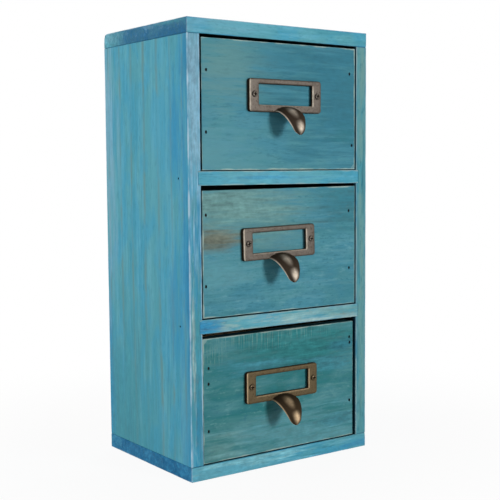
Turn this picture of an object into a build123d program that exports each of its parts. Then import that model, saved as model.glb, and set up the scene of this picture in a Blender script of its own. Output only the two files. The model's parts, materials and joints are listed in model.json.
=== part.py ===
"""Tabletop chest of three drawers in stained softwood, with cast label-frame pulls.

Millimetres, +Z up. The front faces -Y, and the origin is the centre of the underside.
The case is nailed up from six boards and a back panel, with its shelves let into grooves
in the sides. Each drawer is a nailed box that runs on the board below it.
"""

import os
from math import atan2, cos, degrees, pi, sin

from build123d import *

# Case boards
CASE_WIDTH = 160.0
CASE_DEPTH = 120.0
CASE_HEIGHT = 320.0
SIDE_BOARD = 10.0
END_BOARD = 10.6
SHELF_BOARD = 10.0
SHELF_GROOVE_DEPTH = 2.3
BACK_BOARD = 4.0
BACK_REBATE_WIDTH = 5.0
JOINT_CLEARANCE = 0.1
EDGE_ROUND = 0.6

# Drawer boxes
DRAWER_NAMES = ("bottom", "middle", "top")
FRONT_BOARD = 10.0
FRONT_SIDE_GAP = 0.9
DRAWER_BOARD = 9.0
DRAWER_RUN_GAP = 0.2
DRAWER_REAR_GAP = 3.0
DRAWER_RIM_DROP = 5.0
DRAWER_BOTTOM_BOARD = 3.0
DRAWER_GROOVE_DEPTH = 3.5
DRAWER_GROOVE_HEIGHT = 4.0

# How each front sits in its bay: gaps above and below, back from the case's front, sideways,
# and out of square at its top left corner
FRONT_TOP_GAP = {"bottom": 3.2, "middle": 2.0, "top": 1.8}
FRONT_BOTTOM_GAP = {"bottom": 0.6, "middle": 0.8, "top": 0.5}
FRONT_RECESS = {"bottom": 0.9, "middle": 0.5, "top": 0.3}
SIDE_SHIFT_SHARES = {"bottom": -0.5, "middle": 0.1, "top": -0.3}
FRONT_CORNER_DROP = {"bottom": 0.3, "middle": 1.4, "top": 0.4}

# Brad nails, driven below the surface
NAIL_RADIUS = 0.6
NAIL_HEAD_RADIUS = 1.0
NAIL_HEAD_THICKNESS = 0.7
NAIL_SINK = 0.8
NAIL_POINT = 1.6
NAIL_POINT_RADIUS = 0.15
NAIL_CLEARANCE = 0.05
BOARD_NAIL_LENGTH = 22.0
PANEL_NAIL_LENGTH = 14.0

# Where the nails stand, as shares of the board's depth, width or height
END_NAIL_SHARES = (0.14, 0.5, 0.86)
SHELF_NAIL_SHARES = (0.11, 0.86)
PANEL_NAIL_SHARES = (0.06, 0.22, 0.5, 0.78, 0.94)
PANEL_SHELF_NAIL_SHARES = (0.25, 0.75)
REAR_NAIL_SHARES = (0.28, 0.72)
BOTTOM_NAIL_SHARES = (0.2, 0.8)

# Nails through each front: share across the drawer side behind it, share of the front's height
FRONT_NAIL_SHARES = {
    "bottom": {
        "left": ((0.54, 0.76), (0.52, 0.635), (0.5, 0.256)),
        "right": ((0.5, 0.863), (0.46, 0.815), (0.48, 0.308)),
    },
    "middle": {
        "left": ((0.35, 0.797), (0.3, 0.247)),
        "right": ((0.68, 0.79), (0.64, 0.305)),
    },
    "top": {
        "left": ((0.52, 0.755), (0.46, 0.288)),
        "right": ((0.6, 0.79), (0.34, 0.2)),
    },
}

# Label-frame pull, one casting: a card frame with a scooped finger hook on its lower rail
PULL_WIDTH = 64.0
PULL_HEIGHT = 23.4
PULL_THICKNESS = 3.4
PULL_CORNER = 1.4
PULL_EDGE_ROUND = 0.5
WINDOW_WIDTH = 47.8
WINDOW_HEIGHT = 14.6
WINDOW_CORNER = 0.8
TOP_RAIL = 3.7
CARD_SLOT_DEPTH = 1.1
CARD_LIP = 2.0
PULL_SIDE_OFFSET = {"bottom": -1.8, "middle": -4.6, "top": 1.6}
PULL_LIFT = {"bottom": 5.2, "middle": 5.5, "top": 7.3}
PULL_RIGHT_RISE = {"bottom": 0.0, "middle": 1.5, "top": 0.0}
HOOK_WIDTH = 21.0
HOOK_REACH = 15.4
HOOK_DROP = 17.6
HOOK_WALL = 1.9
HOOK_RIM = 1.2

# Along the hook, root to tip: how much of a quarter turn it makes, places on that turn, widths,
# and crowns over half the width
HOOK_TURN_SHARE = 0.93
HOOK_STATION_SHARES = (0.0, 0.2, 0.4, 0.6, 0.8, 0.92, 1.0)
HOOK_WIDTH_SHARES = (1.0, 0.95, 0.86, 0.69, 0.49, 0.38, 0.26)
HOOK_CROWN_SHARES = (0.41, 0.42, 0.46, 0.57, 0.82, 0.88, 0.8)

# Round-head screws that hold each pull
SCREW_SPACING = 56.2
SCREW_RADIUS = 1.25
SCREW_LENGTH = 8.0
SCREW_HEAD_RADIUS = 2.2
SCREW_HEAD_HEIGHT = 1.3
SCREW_HEAD_RIM = 0.5
SCREW_CLEARANCE = 0.15
RECESS_WIDTH = 0.7
RECESS_LENGTH = 2.6
RECESS_DEPTH = 0.8

# Length that a cut runs past the face it starts from
OVERRUN = 1.0

bay_width = CASE_WIDTH - 2 * SIDE_BOARD
shelf_count = len(DRAWER_NAMES) - 1
boards_height = 2 * END_BOARD + shelf_count * SHELF_BOARD
bay_height = (CASE_HEIGHT - boards_height) / len(DRAWER_NAMES)
bay_pitch = bay_height + SHELF_BOARD

case_left, case_right = -CASE_WIDTH / 2, CASE_WIDTH / 2
case_front, case_rear = -CASE_DEPTH / 2, CASE_DEPTH / 2
bay_left, bay_right = -bay_width / 2, bay_width / 2
bay_rear = case_rear - BACK_BOARD
window_top = PULL_HEIGHT / 2 - TOP_RAIL
window_middle = window_top - WINDOW_HEIGHT / 2
shelf_floors = {"lower": END_BOARD + bay_height, "upper": END_BOARD + bay_height + bay_pitch}


def save(builder, name):
    """Labels a finished piece and writes it under its node's name."""
    builder.part.label = name
    export_step(builder.part, f"parts/{name}.step")


def eased_board(low, high):
    """Adds a board between two corners to the part in hand, with all its edges eased."""
    size = [top - bottom for bottom, top in zip(low, high)]
    middle = tuple((bottom + top) / 2 for bottom, top in zip(low, high))
    with Locations(middle):
        Box(*size)
    fillet(edges(), EDGE_ROUND)


def cut_block(low, high):
    """Cuts a square-cornered block out of the part in hand."""
    size = [top - bottom for bottom, top in zip(low, high)]
    middle = tuple((bottom + top) / 2 for bottom, top in zip(low, high))
    with Locations(middle):
        Box(*size, mode=Mode.SUBTRACT)


def between(low, high, shares):
    """Places along a line from low to high."""
    return [low + share * (high - low) for share in shares]


def faced(direction, points):
    """Nail places: a plane at each point whose normal looks out of the wood."""
    return [Plane(origin=point, z_dir=direction) for point in points]


def cut_nail_holes(places, length):
    """Cuts the holes of driven nails in the part in hand, each with a pit for its head."""
    with Locations(*places):
        CounterBoreHole(
            radius=NAIL_RADIUS + NAIL_CLEARANCE,
            counter_bore_radius=NAIL_HEAD_RADIUS + NAIL_CLEARANCE,
            counter_bore_depth=NAIL_SINK + NAIL_HEAD_THICKNESS,
            depth=NAIL_SINK + length + NAIL_CLEARANCE,
        )


def save_nails(name, places, length):
    """Makes one node of driven nails: head, shank and point."""
    from_top = (Align.CENTER, Align.CENTER, Align.MAX)
    under_head = NAIL_SINK + NAIL_HEAD_THICKNESS
    shank = length - NAIL_HEAD_THICKNESS - NAIL_POINT
    with BuildPart() as nails:
        with Locations(*[place.offset(-NAIL_SINK) for place in places]):
            Cylinder(NAIL_HEAD_RADIUS, NAIL_HEAD_THICKNESS, align=from_top)
        with Locations(*[place.offset(-under_head) for place in places]):
            Cylinder(NAIL_RADIUS, shank, align=from_top)
        with Locations(*[place.offset(-under_head - shank) for place in places]):
            Cone(NAIL_POINT_RADIUS, NAIL_RADIUS, NAIL_POINT, align=from_top)
    save(nails, name)


def make_case():
    """The carcass: top, bottom, sides, shelves and back panel, with their nails."""
    side_top = CASE_HEIGHT - END_BOARD
    end_rows = between(case_front, case_rear, END_NAIL_SHARES)
    side_middles = (case_left + SIDE_BOARD / 2, case_right - SIDE_BOARD / 2)
    end_points = [(x, y) for x in side_middles for y in end_rows]
    top_nails = faced((0, 0, 1), [(x, y, CASE_HEIGHT) for x, y in end_points])
    base_nails = faced((0, 0, -1), [(x, y, 0) for x, y in end_points])

    shelf_rows = between(case_front, case_rear, SHELF_NAIL_SHARES)
    shelf_middles = [floor + SHELF_BOARD / 2 for floor in shelf_floors.values()]
    shelf_points = [(y, z) for y in shelf_rows for z in shelf_middles]
    shelf_nails = {
        "left": faced((-1, 0, 0), [(case_left, y, z) for y, z in shelf_points]),
        "right": faced((1, 0, 0), [(case_right, y, z) for y, z in shelf_points]),
    }

    rebate = BACK_REBATE_WIDTH
    panel_columns = (bay_left - rebate / 2, bay_right + rebate / 2)
    panel_rows = between(END_BOARD, side_top, PANEL_NAIL_SHARES)
    panel_points = [(x, case_rear, z) for x in panel_columns for z in panel_rows]
    shelf_columns = between(bay_left, bay_right, PANEL_SHELF_NAIL_SHARES)
    panel_points += [(x, case_rear, z) for x in shelf_columns for z in shelf_middles]
    panel_nails = faced((0, 1, 0), panel_points)

    with BuildPart() as top_board:
        eased_board((case_left, case_front, side_top), (case_right, case_rear, CASE_HEIGHT))
        cut_nail_holes(top_nails, BOARD_NAIL_LENGTH)
    save(top_board, "top_board")

    with BuildPart() as bottom_board:
        eased_board((case_left, case_front, 0), (case_right, case_rear, END_BOARD))
        cut_nail_holes(base_nails, BOARD_NAIL_LENGTH)
    save(bottom_board, "bottom_board")

    side_walls = {
        "left": (case_left, bay_left, bay_left - SHELF_GROOVE_DEPTH, bay_left - rebate, bay_left),
        "right": (bay_right, case_right, bay_right, bay_right, bay_right + rebate),
    }
    for side, (low, high, groove_low, rebate_low, rebate_high) in side_walls.items():
        groove_high = groove_low + SHELF_GROOVE_DEPTH
        with BuildPart() as side_board:
            eased_board((low, case_front, END_BOARD), (high, case_rear, side_top))
            for floor in shelf_floors.values():
                roof = floor + SHELF_BOARD
                cut_block(
                    (groove_low, case_front - OVERRUN, floor - JOINT_CLEARANCE / 2),
                    (groove_high, case_rear + OVERRUN, roof + JOINT_CLEARANCE / 2),
                )
            cut_block(
                (rebate_low, bay_rear - JOINT_CLEARANCE, END_BOARD - OVERRUN),
                (rebate_high, case_rear + OVERRUN, side_top + OVERRUN),
            )
            cut_nail_holes(top_nails + base_nails + shelf_nails[side], BOARD_NAIL_LENGTH)
            cut_nail_holes(panel_nails, PANEL_NAIL_LENGTH)
        save(side_board, f"{side}_side")

    shelf_reach = bay_width / 2 + SHELF_GROOVE_DEPTH - JOINT_CLEARANCE
    for level, floor in shelf_floors.items():
        with BuildPart() as shelf:
            eased_board(
                (-shelf_reach, case_front, floor),
                (shelf_reach, bay_rear - JOINT_CLEARANCE, floor + SHELF_BOARD),
            )
            cut_nail_holes(shelf_nails["left"] + shelf_nails["right"], BOARD_NAIL_LENGTH)
            cut_nail_holes(panel_nails, PANEL_NAIL_LENGTH)
        save(shelf, f"{level}_shelf")

    panel_reach = bay_width / 2 + rebate - JOINT_CLEARANCE
    with BuildPart() as back_panel:
        eased_board((-panel_reach, bay_rear, END_BOARD), (panel_reach, case_rear, side_top))
        cut_nail_holes(panel_nails, PANEL_NAIL_LENGTH)
    save(back_panel, "back_panel")

    save_nails("top_nails", top_nails, BOARD_NAIL_LENGTH)
    save_nails("base_nails", base_nails, BOARD_NAIL_LENGTH)
    save_nails("left_shelf_nails", shelf_nails["left"], BOARD_NAIL_LENGTH)
    save_nails("right_shelf_nails", shelf_nails["right"], BOARD_NAIL_LENGTH)
    save_nails("back_panel_nails", panel_nails, PANEL_NAIL_LENGTH)


def make_pull():
    """The label-frame pull about the centre of its card frame, with its back on Y = 0."""
    root_height = HOOK_RIM / 3 - PULL_HEIGHT / 2
    root_depth = (PULL_THICKNESS + CARD_SLOT_DEPTH) / 2
    with BuildPart() as pull:
        with BuildSketch(Plane.XZ):
            RectangleRounded(PULL_WIDTH, PULL_HEIGHT, PULL_CORNER)
            with Locations((0, window_middle)):
                RectangleRounded(WINDOW_WIDTH, WINDOW_HEIGHT, WINDOW_CORNER, mode=Mode.SUBTRACT)
        extrude(amount=PULL_THICKNESS)
        fillet(faces().sort_by(Axis.Y)[0].edges(), PULL_EDGE_ROUND)
        card_half = WINDOW_WIDTH / 2 + CARD_LIP
        cut_block(
            (-card_half, -CARD_SLOT_DEPTH, window_top - WINDOW_HEIGHT - CARD_LIP),
            (card_half, OVERRUN, PULL_HEIGHT / 2 + OVERRUN),
        )
        with Locations(*screw_places()):
            Hole(SCREW_RADIUS + SCREW_CLEARANCE, PULL_THICKNESS)
        stations = zip(HOOK_STATION_SHARES, HOOK_WIDTH_SHARES, HOOK_CROWN_SHARES)
        for along, width_share, crown_share in stations:
            turn = along * HOOK_TURN_SHARE * pi / 2
            depth = root_depth if along == 0 else PULL_THICKNESS + HOOK_REACH * sin(turn)
            rim_point = (0, -depth, root_height - HOOK_DROP * (1 - cos(turn)))
            section_plane = Plane(Location(rim_point, (degrees(turn), 0, 0)) * Plane.XZ.location)
            half = width_share * HOOK_WIDTH / 2
            crown = crown_share * half
            with BuildSketch(section_plane):
                with BuildLine():
                    ThreePointArc((-half, 0), (0, crown), (half, 0))
                    Line((half, 0), (half - HOOK_RIM, 0))
                    ThreePointArc((half - HOOK_RIM, 0), (0, crown - HOOK_WALL), (HOOK_RIM - half, 0))
                    Line((HOOK_RIM - half, 0), (-half, 0))
                make_face()
        loft()
    return pull


def screw_places():
    """Where a pull's screws enter its front face, about the centre of its card frame."""
    half_spacing = SCREW_SPACING / 2
    points = [(x, -PULL_THICKNESS, window_middle) for x in (-half_spacing, half_spacing)]
    return faced((0, -1, 0), points)


def make_screw():
    """A round-head screw along Z, seated on Z = 0, with a crossed recess."""
    tip = -PULL_THICKNESS - SCREW_LENGTH
    with BuildPart() as screw:
        with BuildSketch(Plane.XZ):
            with BuildLine():
                Polyline(
                    (0, SCREW_HEAD_HEIGHT),
                    (0, tip),
                    (SCREW_RADIUS, tip + SCREW_RADIUS),
                    (SCREW_RADIUS, 0),
                    (SCREW_HEAD_RADIUS, 0),
                    (SCREW_HEAD_RADIUS, SCREW_HEAD_RIM),
                )
                SagittaArc(
                    (SCREW_HEAD_RADIUS, SCREW_HEAD_RIM),
                    (0, SCREW_HEAD_HEIGHT),
                    -(SCREW_HEAD_HEIGHT - SCREW_HEAD_RIM) / 4,
                )
            make_face()
        revolve(axis=Axis.Z)
        with Locations((0, 0, SCREW_HEAD_HEIGHT)):
            Box(RECESS_LENGTH, RECESS_WIDTH, 2 * RECESS_DEPTH, mode=Mode.SUBTRACT)
            Box(RECESS_WIDTH, RECESS_LENGTH, 2 * RECESS_DEPTH, mode=Mode.SUBTRACT)
    return screw


def make_drawer(name, floor, pull, screw):
    """One drawer: front, two sides, rear, bottom, pull, screws and nails."""
    shift = SIDE_SHIFT_SHARES[name] * FRONT_SIDE_GAP
    left = bay_left + FRONT_SIDE_GAP + shift
    right = bay_right - FRONT_SIDE_GAP + shift
    inner_left, inner_right = left + DRAWER_BOARD, right - DRAWER_BOARD
    front = case_front + FRONT_RECESS[name]
    front_back = front + FRONT_BOARD
    rear = bay_rear - DRAWER_REAR_GAP
    inner_rear = rear - DRAWER_BOARD
    front_low = floor + FRONT_BOTTOM_GAP[name]
    front_high = floor + bay_height - FRONT_TOP_GAP[name]
    low = floor + DRAWER_RUN_GAP
    high = front_high - DRAWER_RIM_DROP
    panel_low = low + DRAWER_GROOVE_HEIGHT
    panel_high = panel_low + DRAWER_BOTTOM_BOARD
    slack = JOINT_CLEARANCE / 2

    def front_nail_points(side):
        inward = {"left": (left, 1), "right": (right, -1)}
        edge, sign = inward[side]
        height = front_high - front_low
        shares = FRONT_NAIL_SHARES[name][side]
        return [(edge + sign * x * DRAWER_BOARD, front, front_low + z * height) for x, z in shares]

    front_nails = faced((0, -1, 0), front_nail_points("left") + front_nail_points("right"))
    rear_rows = between(panel_high, high, REAR_NAIL_SHARES)
    rear_middle = (inner_rear + rear) / 2
    rear_nails = faced((-1, 0, 0), [(left, rear_middle, z) for z in rear_rows])
    rear_nails += faced((1, 0, 0), [(right, rear_middle, z) for z in rear_rows])
    bottom_columns = between(inner_left, inner_right, BOTTOM_NAIL_SHARES)
    bottom_nails = faced((0, 0, -1), [(x, rear_middle, panel_low) for x in bottom_columns])

    pull_x = PULL_SIDE_OFFSET[name] + shift
    pull_z = (front_low + front_high) / 2 + PULL_LIFT[name]
    pull_tilt = -degrees(atan2(PULL_RIGHT_RISE[name], PULL_WIDTH))
    pull_place = Location((pull_x, front, pull_z), (0, pull_tilt, 0))
    screws_placed = [pull_place * place.location for place in screw_places()]

    def cut_bottom_groove():
        cut_block(
            (
                inner_left - DRAWER_GROOVE_DEPTH,
                front_back - DRAWER_GROOVE_DEPTH,
                panel_low - slack,
            ),
            (inner_right + DRAWER_GROOVE_DEPTH, rear + OVERRUN, panel_high + slack),
        )

    with BuildPart() as front_board:
        with BuildSketch(Plane.XZ.offset(-front_back)):
            with BuildLine():
                Polyline(
                    (left, front_low),
                    (right, front_low),
                    (right, front_high),
                    (left, front_high - FRONT_CORNER_DROP[name]),
                    close=True,
                )
            make_face()
        extrude(amount=FRONT_BOARD)
        fillet(edges(), EDGE_ROUND)
        cut_bottom_groove()
        cut_nail_holes(front_nails, BOARD_NAIL_LENGTH)
        with Locations(*screws_placed):
            Hole(SCREW_RADIUS + SCREW_CLEARANCE, PULL_THICKNESS + SCREW_LENGTH + SCREW_CLEARANCE)
    save(front_board, f"{name}_drawer_front")

    for side, (outer, inner) in {"left": (left, inner_left), "right": (right, inner_right)}.items():
        with BuildPart() as side_board:
            eased_board((min(outer, inner), front_back, low), (max(outer, inner), rear, high))
            cut_bottom_groove()
            cut_nail_holes(front_nails + rear_nails, BOARD_NAIL_LENGTH)
        save(side_board, f"{name}_drawer_{side}_side")

    with BuildPart() as rear_board:
        eased_board(
            (inner_left + slack, inner_rear, panel_high + slack),
            (inner_right - slack, rear, high),
        )
        cut_nail_holes(rear_nails, BOARD_NAIL_LENGTH)
        cut_nail_holes(bottom_nails, PANEL_NAIL_LENGTH)
    save(rear_board, f"{name}_drawer_rear")

    panel_side_reach = DRAWER_GROOVE_DEPTH - JOINT_CLEARANCE
    with BuildPart() as bottom_board:
        eased_board(
            (inner_left - panel_side_reach, front_back - panel_side_reach, panel_low),
            (inner_right + panel_side_reach, rear, panel_high),
        )
        cut_nail_holes(bottom_nails, PANEL_NAIL_LENGTH)
    save(bottom_board, f"{name}_drawer_bottom")

    with BuildPart() as placed_pull:
        with Locations(pull_place):
            add(pull.part)
    save(placed_pull, f"{name}_drawer_pull")

    with BuildPart() as placed_screws:
        with Locations(*screws_placed):
            add(screw.part)
    save(placed_screws, f"{name}_drawer_pull_screws")

    save_nails(f"{name}_drawer_front_nails", front_nails, BOARD_NAIL_LENGTH)
    save_nails(f"{name}_drawer_rear_nails", rear_nails, BOARD_NAIL_LENGTH)
    save_nails(f"{name}_drawer_bottom_nails", bottom_nails, PANEL_NAIL_LENGTH)


os.makedirs("parts", exist_ok=True)
make_case()
label_pull = make_pull()
pull_screw = make_screw()
for level, drawer_name in enumerate(DRAWER_NAMES):
    make_drawer(drawer_name, END_BOARD + level * bay_pitch, label_pull, pull_screw)
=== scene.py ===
"""Dresses the three-drawer chest: worn stained boards, cast label pulls, screws, nails and a stage.

Metres, in the frame of the packed model. The front faces -Y. Every board, nail, pull and screw
of the packed model is replaced by a finished piece that stands in the same place.
"""

import json
from collections import namedtuple
from math import atan2, cos, pi, radians, sin, sqrt
from random import Random

import bmesh
import bpy
import numpy as np
from bpy.props import FloatProperty, FloatVectorProperty, PointerProperty
from mathutils import Matrix, Quaternion, Vector
from mathutils.kdtree import KDTree


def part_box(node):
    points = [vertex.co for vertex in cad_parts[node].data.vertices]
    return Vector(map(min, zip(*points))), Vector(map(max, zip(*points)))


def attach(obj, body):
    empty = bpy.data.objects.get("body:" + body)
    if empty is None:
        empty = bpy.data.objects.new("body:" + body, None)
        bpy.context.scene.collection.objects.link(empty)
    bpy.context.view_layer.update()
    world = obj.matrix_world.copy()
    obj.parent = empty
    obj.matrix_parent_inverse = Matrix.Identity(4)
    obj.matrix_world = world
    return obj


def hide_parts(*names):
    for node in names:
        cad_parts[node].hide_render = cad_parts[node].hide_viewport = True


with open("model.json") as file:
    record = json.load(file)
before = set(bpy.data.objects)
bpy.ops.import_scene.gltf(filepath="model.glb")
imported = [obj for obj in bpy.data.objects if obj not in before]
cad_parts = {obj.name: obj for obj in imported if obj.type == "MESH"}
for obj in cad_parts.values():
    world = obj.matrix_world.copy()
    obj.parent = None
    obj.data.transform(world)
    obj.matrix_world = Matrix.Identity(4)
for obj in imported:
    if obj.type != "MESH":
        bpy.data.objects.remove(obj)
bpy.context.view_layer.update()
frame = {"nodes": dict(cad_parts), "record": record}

bl_info = {
    "name": "Three-Drawer Chest",
    "version": (1, 0, 0),
    "blender": (4, 5, 0),
    "location": "3D View > Sidebar > Chest",
    "description": "Finishes a small stained chest of three drawers with cast label pulls",
    "category": "Add Mesh",
}

RECORD = frame["record"]
BODY_OF = {node: body for body, nodes in RECORD["behaviour"]["bodies"].items() for node in nodes}
SLOT_OF = {part["node"]: part["material_slot"] for part in RECORD["subparts"]}

DRAWERS = ("top", "middle", "bottom")
X, Y, Z = 0, 1, 2

# Case boards: node, grain axis, pieces let into it, nails driven in through its face
LET_INTO_SIDES = ("upper_shelf", "lower_shelf", "back_panel")
CASE_BOARDS = (
    ("top_board", X, (), "top_nails"),
    ("bottom_board", X, (), "base_nails"),
    ("left_side", Z, LET_INTO_SIDES, "left_shelf_nails"),
    ("right_side", Z, LET_INTO_SIDES, "right_shelf_nails"),
    ("upper_shelf", X, (), None),
    ("lower_shelf", X, (), None),
    ("back_panel", Z, (), "back_panel_nails"),
)

# The same for one drawer, with the drawer's name left off the nodes
DRAWER_BOARDS = (
    ("front", X, ("bottom",), "front_nails"),
    ("left_side", Y, ("bottom",), "rear_nails"),
    ("right_side", Y, ("bottom",), "rear_nails"),
    ("rear", X, (), None),
    ("bottom", X, (), "bottom_nails"),
)
CASE_NAILS = ("top_nails", "base_nails", "left_shelf_nails", "right_shelf_nails", "back_panel_nails")
DRAWER_NAILS = ("front_nails", "rear_nails", "bottom_nails")

# How the boards are meshed: rows of faces round an edge, the cells they take up along each axis and one
# cell, how near two faces count as level and two points as one, and the angle past which a corner is
# sharp
EDGE_ROWS = 3
EDGE_CELLS = (2.0 * EDGE_ROWS,) * 3
ONES = (1.0, 1.0, 1.0)
FLUSH = 0.0002
MERGE = 0.000002
SMOOTH_ANGLE = radians(38)

# How their edges are worn, over the set rounding: the least of it, the room kept for the most of it,
# and how far a knocked corner spreads
LEAST_ROUND = 0.75
ROUND_MARGIN = 1.05
KNOCK_SPREAD = 4.0

# How they are cut: room round a piece let in, how far a cutter runs past a face, and each nail pit's
# sides, room and unevenness
LET_IN_CLEARANCE = 0.00003
OVERRUN = 0.002
PIT_SIDES = 14
PIT_CLEARANCE = 0.00006
PIT_JITTER = 0.12

# Faces of case boards that butt against another board: an axis, and 0 for its low or 1 for its high end
BUTTED = {
    "top_board": ((Z, 0),),
    "bottom_board": ((Z, 1),),
    "left_side": ((Z, 0), (Z, 1)),
    "right_side": ((Z, 0), (Z, 1)),
    "upper_shelf": ((X, 0), (X, 1)),
    "lower_shelf": ((X, 0), (X, 1)),
}

# Top board's rear left top corner, knocked round
KNOCKED_CORNER = (0.0, 1.0, 1.0)
KNOCK_ROUND = 0.0015

# Drawer fronts planed a little narrower, at their low and high ends in X
PLANED = {"top_drawer_front": (0.0007, 0.0), "bottom_drawer_front": (0.0, 0.0009)}

# A nail: the middle of its head, its way out of the wood, its length and its head's radius
Nail = namedtuple("Nail", "head way length radius")

# How far in from its ends a drawer front's top corners are looked for
CORNER_INSET = 0.003

# Nail pits: nails whose rear ones are stopped with filler, how far the wood has closed over their
# front ones, and how narrow in X the pits of the drawer fronts are
STOPPED_AT_REAR = ("left_shelf_nails", "right_shelf_nails")
CLOSED_PIT = 0.62
OBLONG_PIT = 0.72

# Nails: sides, rings as shares of the head's radius and thickness, and the point's end over the shank
NAIL_SIDES = 12
NAIL_HEAD_TOP = 0.82
NAIL_HEAD_SIDE = (0.3, 0.8)
NAIL_POINT = 0.25

# Screw heads: sides, rings as shares of the radius and height from the top down, and the crossed
# recess, its length and width over the radius and twice its depth over the height
SCREW_SIDES = 24
SCREW_DOME = (
    (0.12, 0.0),
    (0.35, -0.05),
    (0.58, -0.15),
    (0.78, -0.30),
    (0.92, -0.48),
    (1.0, -0.66),
    (1.0, -0.94),
    (0.97, -1.0),
    (0.5, -1.0),
    (0.5, -1.5),
)
RECESS_LENGTH = 1.25
RECESS_WIDTH = 0.48
RECESS_DEPTH = 1.3

# How rubbed a screw head is, and where down its height the rubbing fades and the painted shade in the
# recess and round the head starts, each as a start and a width
SCREW_RUB = 0.40
SCREW_RUB_FADE = (0.1, 0.3)
SCREW_SHADE = (0.38, 0.10)

# Card frame: steps round a corner and along its long and short sides, least corner radius, corner
# radius of the window, angles round an eased edge, and rows across its face as shares
CORNER_STEPS = 4
LONG_STEPS = 18
SHORT_STEPS = 7
LEAST_CORNER = 0.00002
WINDOW_CORNER = 0.0008
EASE_ANGLES = tuple(radians(angle) for angle in (0, 22.5, 45, 67.5, 90))
FACE_ROWS = (0.3, 0.7)

# How rubbed its edges are: its outer left and the window's right, the window's sill, and the others.
# The first two and the sill are worn and also carry a painted highlight
LEFT_FACING_WEAR_AND_HIGHLIGHT = 1.0
SILL_WEAR_AND_HIGHLIGHT = 0.6
DULL_EDGE = 0.25

# Hook, root to tip: points over its crown, steps along it, its rim over the height of its root above the
# frame's lower edge, how much of a quarter turn it makes, how it narrows, how its crown falls and how
# its tip closes
CROWN_POINTS = 15
HOOK_STEPS = 34
ROOT_RIMS = 3
HOOK_TURN_SHARE = 0.93
NARROWING = 0.69
NARROWING_POWER = 1.9
CROWN_FALL = 0.48
CROWN_FALL_START = 0.8
CROWN_FALL_LENGTH = 0.2
TIP_START = 0.88
TIP_LEAST = 0.3

# Its rims, over their thickness: how far the arcs are lifted, and points round a rim, inwards and up.
# Then the least rise of the hollow under the crown
RIM_LIFT = 0.3
RIM_ROUND = ((0.15, 0.08), (0.5, 0.0), (0.85, 0.08))
LEAST_HOLLOW = 0.0003

# Rubbed spots on it, also painted highlights, at its tip and its shoulder: middle and reach along it,
# middle and reach across it, and strength
HOOK_WEAR_AND_HIGHLIGHT_SPOTS = (
    (0.84, 0.22, 0.0, 0.75, 1.0),
    (0.38, 0.30, -0.2, 0.5, 0.75),
)
SPOT_POWER = 0.7

# Its left rim, a painted highlight: how bright, where it ends across the top and the underside, and
# where it starts along the underside. Then how hollow the top is at the root, and how much less at the tip
LEFT_RIM_HIGHLIGHT = 0.9
TOP_RIM = -0.97
UNDER_RIM = -0.9
UNDER_RIM_START = 0.05
TOP_HOLLOW = 0.96
TOP_HOLLOW_FALL = 0.12

# Parts of the wood's figure, then their lengths: along the grain, then across it twice
FIGURE = ("Streaks", "Flecks", "Clouds", "Growth", "Pores")
BROAD_STREAK = (0.10, 0.010, 0.010)
STREAK = (0.032, 0.0030, 0.0030)
FLECK = (0.009, 0.0015, 0.0015)
MOTTLE = (0.0050, 0.0036, 0.0036)
PORE = (0.006, 0.0011, 0.0011)
CLOUD = (0.030, 0.014, 0.014)
FRAY = (0.040, 0.0035, 0.0035)

# Boards whose figure is drawn out, as a factor on places along the grain
LONG_GRAIN = {"left_side": 0.8, "right_side": 0.8}

# Growth lines: how far apart they are, how far they wander, their half width over their spacing, how
# far each axis counts across them, and how often they wander to the metre
GROWTH_SPACING = 0.018
GROWTH_WANDER = 0.022
GROWTH_WIDTH = 0.14
GROWTH_ACROSS = (0.0, 1.0, 0.8)
GROWTH_WANDERS_PER_METRE = (2.0, 20.0, 20.0)

# How strongly the figure shows in patches, how strongly pores show in a coat, and the step between the
# patterns of two boards
PATCH_FIGURE = 2.0
PORE_STRENGTH = 0.25
BOARD_PATTERN_STEP = (0.37, 0.71, 0.53)

# Marks to the metre: knocks and dips in the boards, rubbing along their edges, clouds and specks in
# the metal, rust on the nails, and tones in the floor
KNOCKS_PER_METRE = 75.0
DIPS_PER_METRE = 45.0
RUBS_PER_METRE = 55.0
CLOUDS_PER_METRE = 260.0
SPECKS_PER_METRE = 900.0
RUST_PER_METRE = 1200.0
FLOOR_TONES_PER_METRE = 3.0

# Where noise or streaks count in the wood, as a start and an end, and the two values they then run
# between where these aren't 0 and 1
KNOCK_RANGE = (0.48, 0.75)
CLOUD_RANGE = (0.38, 0.62)
PORE_RANGE = (0.56, 0.70)
TICK_RANGE = (0.48, 0.62)
BROKEN_GROWTH = (0.35, 0.6, 0.15, 1.0)
RUB_WIDTHS = (0.3, 0.7, 0.5, 1.5)
RUB_AMOUNTS = (0.3, 0.65, 0.25, 1.0)
WOOD_ROUGHNESS = (-0.2, 0.2, 0.45, 0.62)

# Strengths in the wood: flecks, height of the pores, where streaks and flecks count towards the deeper
# or paler colour, how near an edge rubbing is full over its width, how far patches fray, and the shares
# of its reach where a patch ends and where it is full
FLECK_STRENGTH = 0.65
PORE_HEIGHT = -0.3
STREAK_END = 0.12
FLECK_START = 0.03
FLECK_END = 0.24
RUB_FULL = 0.2
FRAY_STRENGTH = 4.0
PATCH_RANGE = (1.0, 0.15)

# The same for the metals: where noise and rubbing count, how strong clouds and hollows are, then what
# dark, bright or rusty metal adds to its roughness or metalness and what these are without it
PATINA_CLOUDS = (0.45, 0.75)
PATINA_CLOUD_STRENGTH = 0.35
PATINA_SPECKS = (0.54, 0.68, 0.0, 0.6)
HOLLOW_STRENGTH = 0.95
WORN_CLOUDS = (0.3, 0.7, 1.0, 0.6)
RUB_RANGE = (0.1, 1.0)
RUST_RANGE = (0.4, 0.65)
DARK_ROUGHNESS = (0.10, 0.52)
BRIGHT_METALNESS = (-0.2, 0.7)
RUST_ROUGHNESS = (0.4, 0.4)
RUST_METALNESS = (-0.8, 0.9)

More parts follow.
